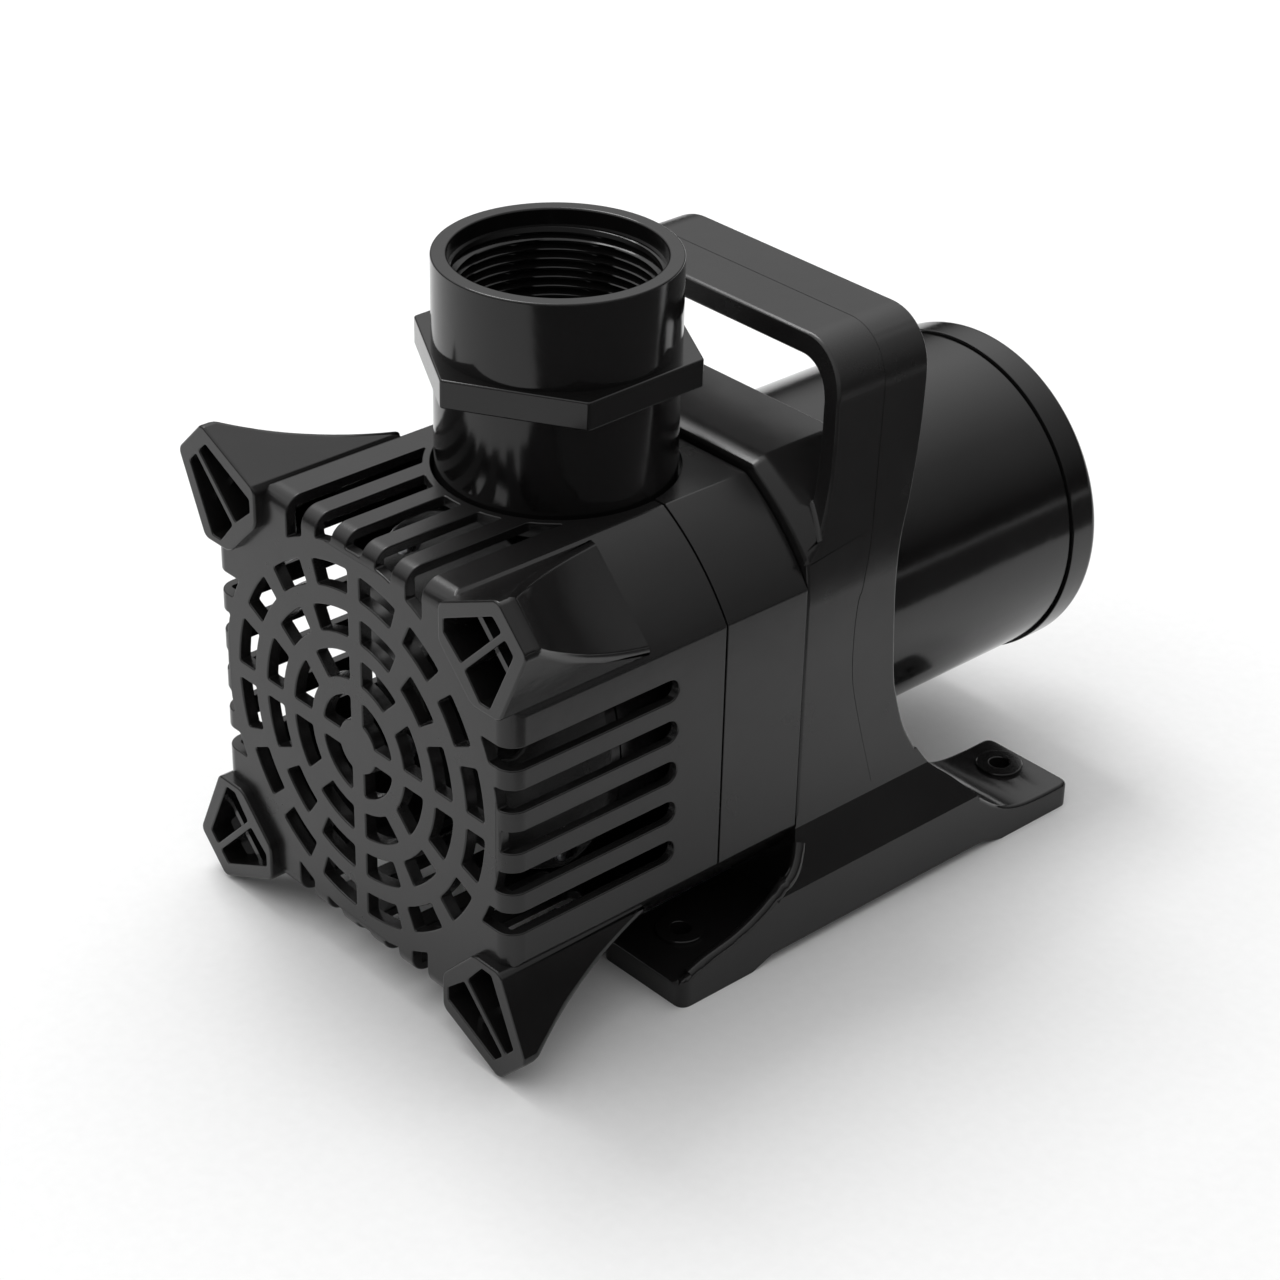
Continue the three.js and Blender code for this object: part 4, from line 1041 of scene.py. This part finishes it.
def motor_end_cap():
    inside = MOTOR_R - HOUSING_WALL - GAP
    edge_r = 2.6
    gland_hole_r = 5.3
    edge = arc(CAP_R - edge_r, CAP_END_Y - edge_r, edge_r, 0, 90, 10)
    cap = turned([
        (gland_hole_r, CAP_END_Y - 3.2), (inside - 3, CAP_END_Y - 3.2), (inside - 3, 194),
        (inside, 194), (inside, 195.4), (inside - 1.2, 195.4), (inside - 1.2, 197.6),
        (inside, 197.6), (inside, CAP_Y), (CAP_R, CAP_Y), *edge, (gland_hole_r, CAP_END_Y),
    ], steps=FINEST)
    places = [on_circle(CAP_SCREW_R, degrees) for degrees in DIAGONALS]
    pillars = [rod(3, 193.8, CAP_END_Y - 1, place) for place in places]
    holes = [rod(1.9, 190, CAP_END_Y + 1, place) for place in places]
    sinks = [rod(3.7, CAP_END_Y - CAP_SINK, CAP_END_Y + 1, place) for place in places]
    return soften(cut(join(cap, *pillars), *holes, *sinks), 0.35, 2)


show(motor_housing(), "motor_housing", GLOSS)
show(motor_end_cap(), "motor_end_cap", GLOSS)


# ------------------------------------------------------------------ cable gland
def gland_nut():
    corners = [on_circle(9.5, degrees) for degrees in range(90, -270, -60)]
    nut = soften(prism(rounded(corners, 0.6, 4), 201, 205.2, "Y"), 0.3)
    return cut(nut, rod(6.2, 200, 206, steps=96))


def gland_cap():
    """A domed compression nut with finger grooves."""
    outside = smooth([(6, GLAND_END_Y), (7.6, 221), (8.6, 219), (9.2, 216.6), (9.4, 214)], 4)
    dome = turned([
        (CORD_R, GLAND_END_Y), *outside, (6.8, 214), (6.8, 219.6), (CORD_R, 219.6),
    ], steps=160)
    grips = [rod(1, 212, 223, on_circle(9.7, i * 36), steps=24) for i in range(10)]
    return soften(cut(dome, *grips), 0.2, 2, angle=40)


def gland_body():
    body = turned([
        (CORD_R, 200), (5, 200), (5, CAP_END_Y + GAP), (9.4, CAP_END_Y + GAP), (9.4, 213.6),
        (6.5, 213.6), (6.5, 217.2), (CORD_R, 217.2),
    ])
    flats = [turn(box(-12, 12, CAP_END_Y + 2.5, 212, 8.8, 12), "Y", degrees)
             for degrees in range(0, 360, 60)]
    return soften(cut(body, *flats), 0.25, 3)


show(gland_body(), "gland_body", BLACK)
show(gland_nut(), "gland_nut", BLACK)
show(gland_cap(), "gland_cap", BLACK)


# ------------------------------------------------------------------ screws
def pan_screw(shank_r, head_r, head_h, length):
    """A pan-head screw with a cross recess and a rolled thread. It points along -Y from y = 0."""
    pitch = 1.25
    step = 0.25
    root_r = shank_r - 0.3
    point = 0.9
    rows = [(shank_r - point, -length), (root_r, point - length)]
    rows += [(root_r, point - length + step * i) for i in range(1, int((length - 1.4) / step))]
    rises = [on_circle(1, degrees) for degrees in range(0, 90, 9)]
    crown = [(head_r * across, head_h * (0.45 + 0.55 * up)) for across, up in rises]

    def ridged(r, h, angle):
        wave = abs((h / pitch + angle / (2 * math.pi)) % 1 * 2 - 1)
        return r + 0.28 * wave if h < -0.3 and r > shank_r - 0.5 else r

    screw = turned([
        (0, -length), *rows, (shank_r, -0.2), (shank_r, 0), (head_r, 0), *crown, (0, head_h),
    ], steps=40, radius=ridged)
    slot = [(-0.45, -2.1), (0.45, -2.1), (0.45, 2.1), (-0.45, 2.1)]
    low, high = head_h - 1.2, head_h + 1
    return cut(screw, prism(slot, low, high, "Y"), prism([(z, x) for x, z in slot], low, high, "Y"))


VOLUTE_FRONT_Y = 41.5
VOLUTE_SCREW_R = 41.2
for number, (sx, sz) in enumerate(CORNERS, 1):
    x, z = sx * BRACKET_SCREW_AT, sz * BRACKET_SCREW_AT
    screw = shift(pan_screw(1.4, 3.6, 2.6, 13), x, BRACKET_Y + 3.5 + GAP, z)
    show(screw, f"bracket_screw_{number}", STEEL)
for number, degrees in enumerate(DIAGONALS, 1):
    x, z = on_circle(VOLUTE_SCREW_R, degrees)
    screw = turn(pan_screw(1.4, 3.3, 2.4, 14), "X", 180)
    show(shift(screw, x, VOLUTE_FRONT_Y - 3.5 - 2 * GAP, z), f"volute_screw_{number}", STEEL)
    x, z = on_circle(CAP_SCREW_R, degrees)
    screw = turn(pan_screw(1.4, 3.3, 2.3, 20), "Y", 35 * number - 15)
    show(shift(screw, x, CAP_END_Y - CAP_SINK + GAP, z), f"end_cap_screw_{number}", STEEL)


# ------------------------------------------------------------------ suction side and impeller
SUCTION_R = 13.5
VOLUTE_R = 45.5
SHAFT_R = 4
IMPELLER_R = 31
DISC_Y = 68.5


def volute_cover():
    """A flat cover with a short suction pipe."""
    back = VOLUTE_FRONT_Y - GAP
    front = back - 3.2
    pipe_r = SUCTION_R + 3
    fillet = arc(pipe_r + 1.5, front - 1.5, 1.5, 90, 180, 5)
    cover = turned([
        (SUCTION_R, back), (VOLUTE_R, back), (VOLUTE_R, front), *fillet,
        (pipe_r, back - 12), (SUCTION_R, back - 12),
    ])
    holes = [rod(2, back - 5, back + 1, on_circle(VOLUTE_SCREW_R, a)) for a in DIAGONALS]
    return soften(cut(cover, *holes), 0.4)


def blade_outline(start):
    """A blade that sweeps back as it runs outwards from near the hub."""
    outer, inner = [], []
    for i in range(17):
        r = 9 + (IMPELLER_R - 9.4) * i / 16
        lean = start - 62 * i / 16
        outer.append(on_circle(r, lean))
        inner.append(on_circle(r, lean + math.degrees(2.2 / r)))
    return [*outer, *reversed(inner)]


def impeller():
    """A closed impeller: back disc with its hub, six swept blades and a front shroud."""
    disc = turned([(0, DISC_Y), (IMPELLER_R, DISC_Y), (IMPELLER_R, DISC_Y + 2.4), (8, DISC_Y + 2.4),
                   (7, 73.4), (0, 73.4)])
    into_disc = DISC_Y + 0.1
    hub_side = smooth([(5, 50), (6.6, 52.6), (8.5, 58), (9.5, into_disc)], 4)
    hub = turned([(0, 50), *hub_side, (0, into_disc)])
    blades = [prism(blade_outline(60 * i), 46, into_disc, "Y") for i in range(6)]
    shroud = turned([(SUCTION_R, 44.2), (IMPELLER_R, 44.2), (IMPELLER_R, 46.2), (SUCTION_R, 46.2)])
    return cut(join(disc, hub, shroud, *blades), rod(SHAFT_R + 0.05, 56, 80, steps=96))


show(volute_cover(), "volute_cover", BLACK)
show(impeller(), "impeller", WHITE, "rotor")
show(soften(rod(SHAFT_R, 56.5, 181, steps=96), 0.4), "shaft", CERAMIC, "rotor")


# ------------------------------------------------------------------ camera, floor and light
def camera():
    """Three-quarter view from the front right, above."""
    data = bpy.data.cameras.new("camera")
    data.sensor_width = 36
    data.lens = 87.95
    obj = bpy.data.objects.new("camera", data)
    SCENE.collection.objects.link(obj)
    azimuth, elevation, roll = math.radians(47.28), math.radians(30.51), math.radians(1.36)
    back = Vector((
        math.sin(azimuth) * math.cos(elevation),
        -math.cos(azimuth) * math.cos(elevation),
        math.sin(elevation),
    ))
    right = (-back).cross(Vector((0, 0, 1))).normalized()
    up = right.cross(-back)
    across = right * math.cos(roll) + up * math.sin(roll)
    up = up * math.cos(roll) - right * math.sin(roll)
    facing = Matrix((across, up, back)).transposed().to_4x4()
    obj.matrix_world = Matrix.Translation((0.49199, -0.47590, 0.45370)) @ facing
    SCENE.camera = obj


def area_light(name, at, towards, size, power):
    """A soft box that faces a point."""
    data = bpy.data.lights.new(name, "AREA")
    data.shape = "RECTANGLE"
    data.size, data.size_y = size
    data.energy = power
    obj = bpy.data.objects.new(name, data)
    obj.location = at
    obj.rotation_mode = "QUATERNION"
    obj.rotation_quaternion = (Vector(towards) - Vector(at)).to_track_quat("-Z", "Y")
    SCENE.collection.objects.link(obj)


def stage_sheet(name, x0, x1, y0, y1, z, grain, dark, light):
    """A flat piece of the studio, with a faint grain between two greys."""
    obj = solid([(x0, y0, z), (x1, y0, z), (x1, y1, z), (x0, y1, z)], [(0, 1, 2, 3)])
    obj.name = name
    material, nodes, links, principled = shader(name, [dark] * 3, 0.9)
    speckle = noise(nodes, links, *grain)
    colour = tint(nodes, links, speckle, [dark] * 3, [light] * 3)
    links.new(colour, principled.inputs["Base Color"])
    obj.data.materials.append(material)
    return obj


def floor():
    """Pale paper, so large that low views don't see its end."""
    reach = 150
    stage_sheet("floor", -reach, reach, -reach, reach, 0, (300, 3), 0.84, 0.86)


def world(low, high):
    """A studio dome that is dark near the horizon, bright overhead and brightest on the left."""
    made = bpy.data.worlds.new("studio")
    made.use_nodes = True
    nodes, links = made.node_tree.nodes, made.node_tree.links
    coords = nodes.new("ShaderNodeTexCoord")
    split = nodes.new("ShaderNodeSeparateXYZ")
    links.new(coords.outputs["Generated"], split.inputs["Vector"])
    height = spread(nodes, links, split.outputs["Z"], low, high, 0.13, 0.75)
    side = spread(nodes, links, split.outputs["X"], 1, 0.4, -0.45, 0.4)
    nodes["Background"].inputs["Color"].default_value = (1, 1, 1, 1)
    links.new(times(nodes, links, height, side), nodes["Background"].inputs["Strength"])
    SCENE.world = made


def black_card():
    """A studio flag that darkens reflections towards the right. Only glossy rays see it."""
    card = stage_sheet("black_card", 0.18, 1.6, -1.2, 1.2, 0.002, (400, 2), 0.05, 0.08)
    card.visible_camera = False
    card.visible_diffuse = False
    card.visible_shadow = False


camera()
floor()
black_card()
world(0.05, 1.75)
area_light("key", (-0.6, 0.05, 1.25), (0, 0, 0.05), (0.5, 0.5), 7)
SCENE.view_settings.view_transform = "Standard"
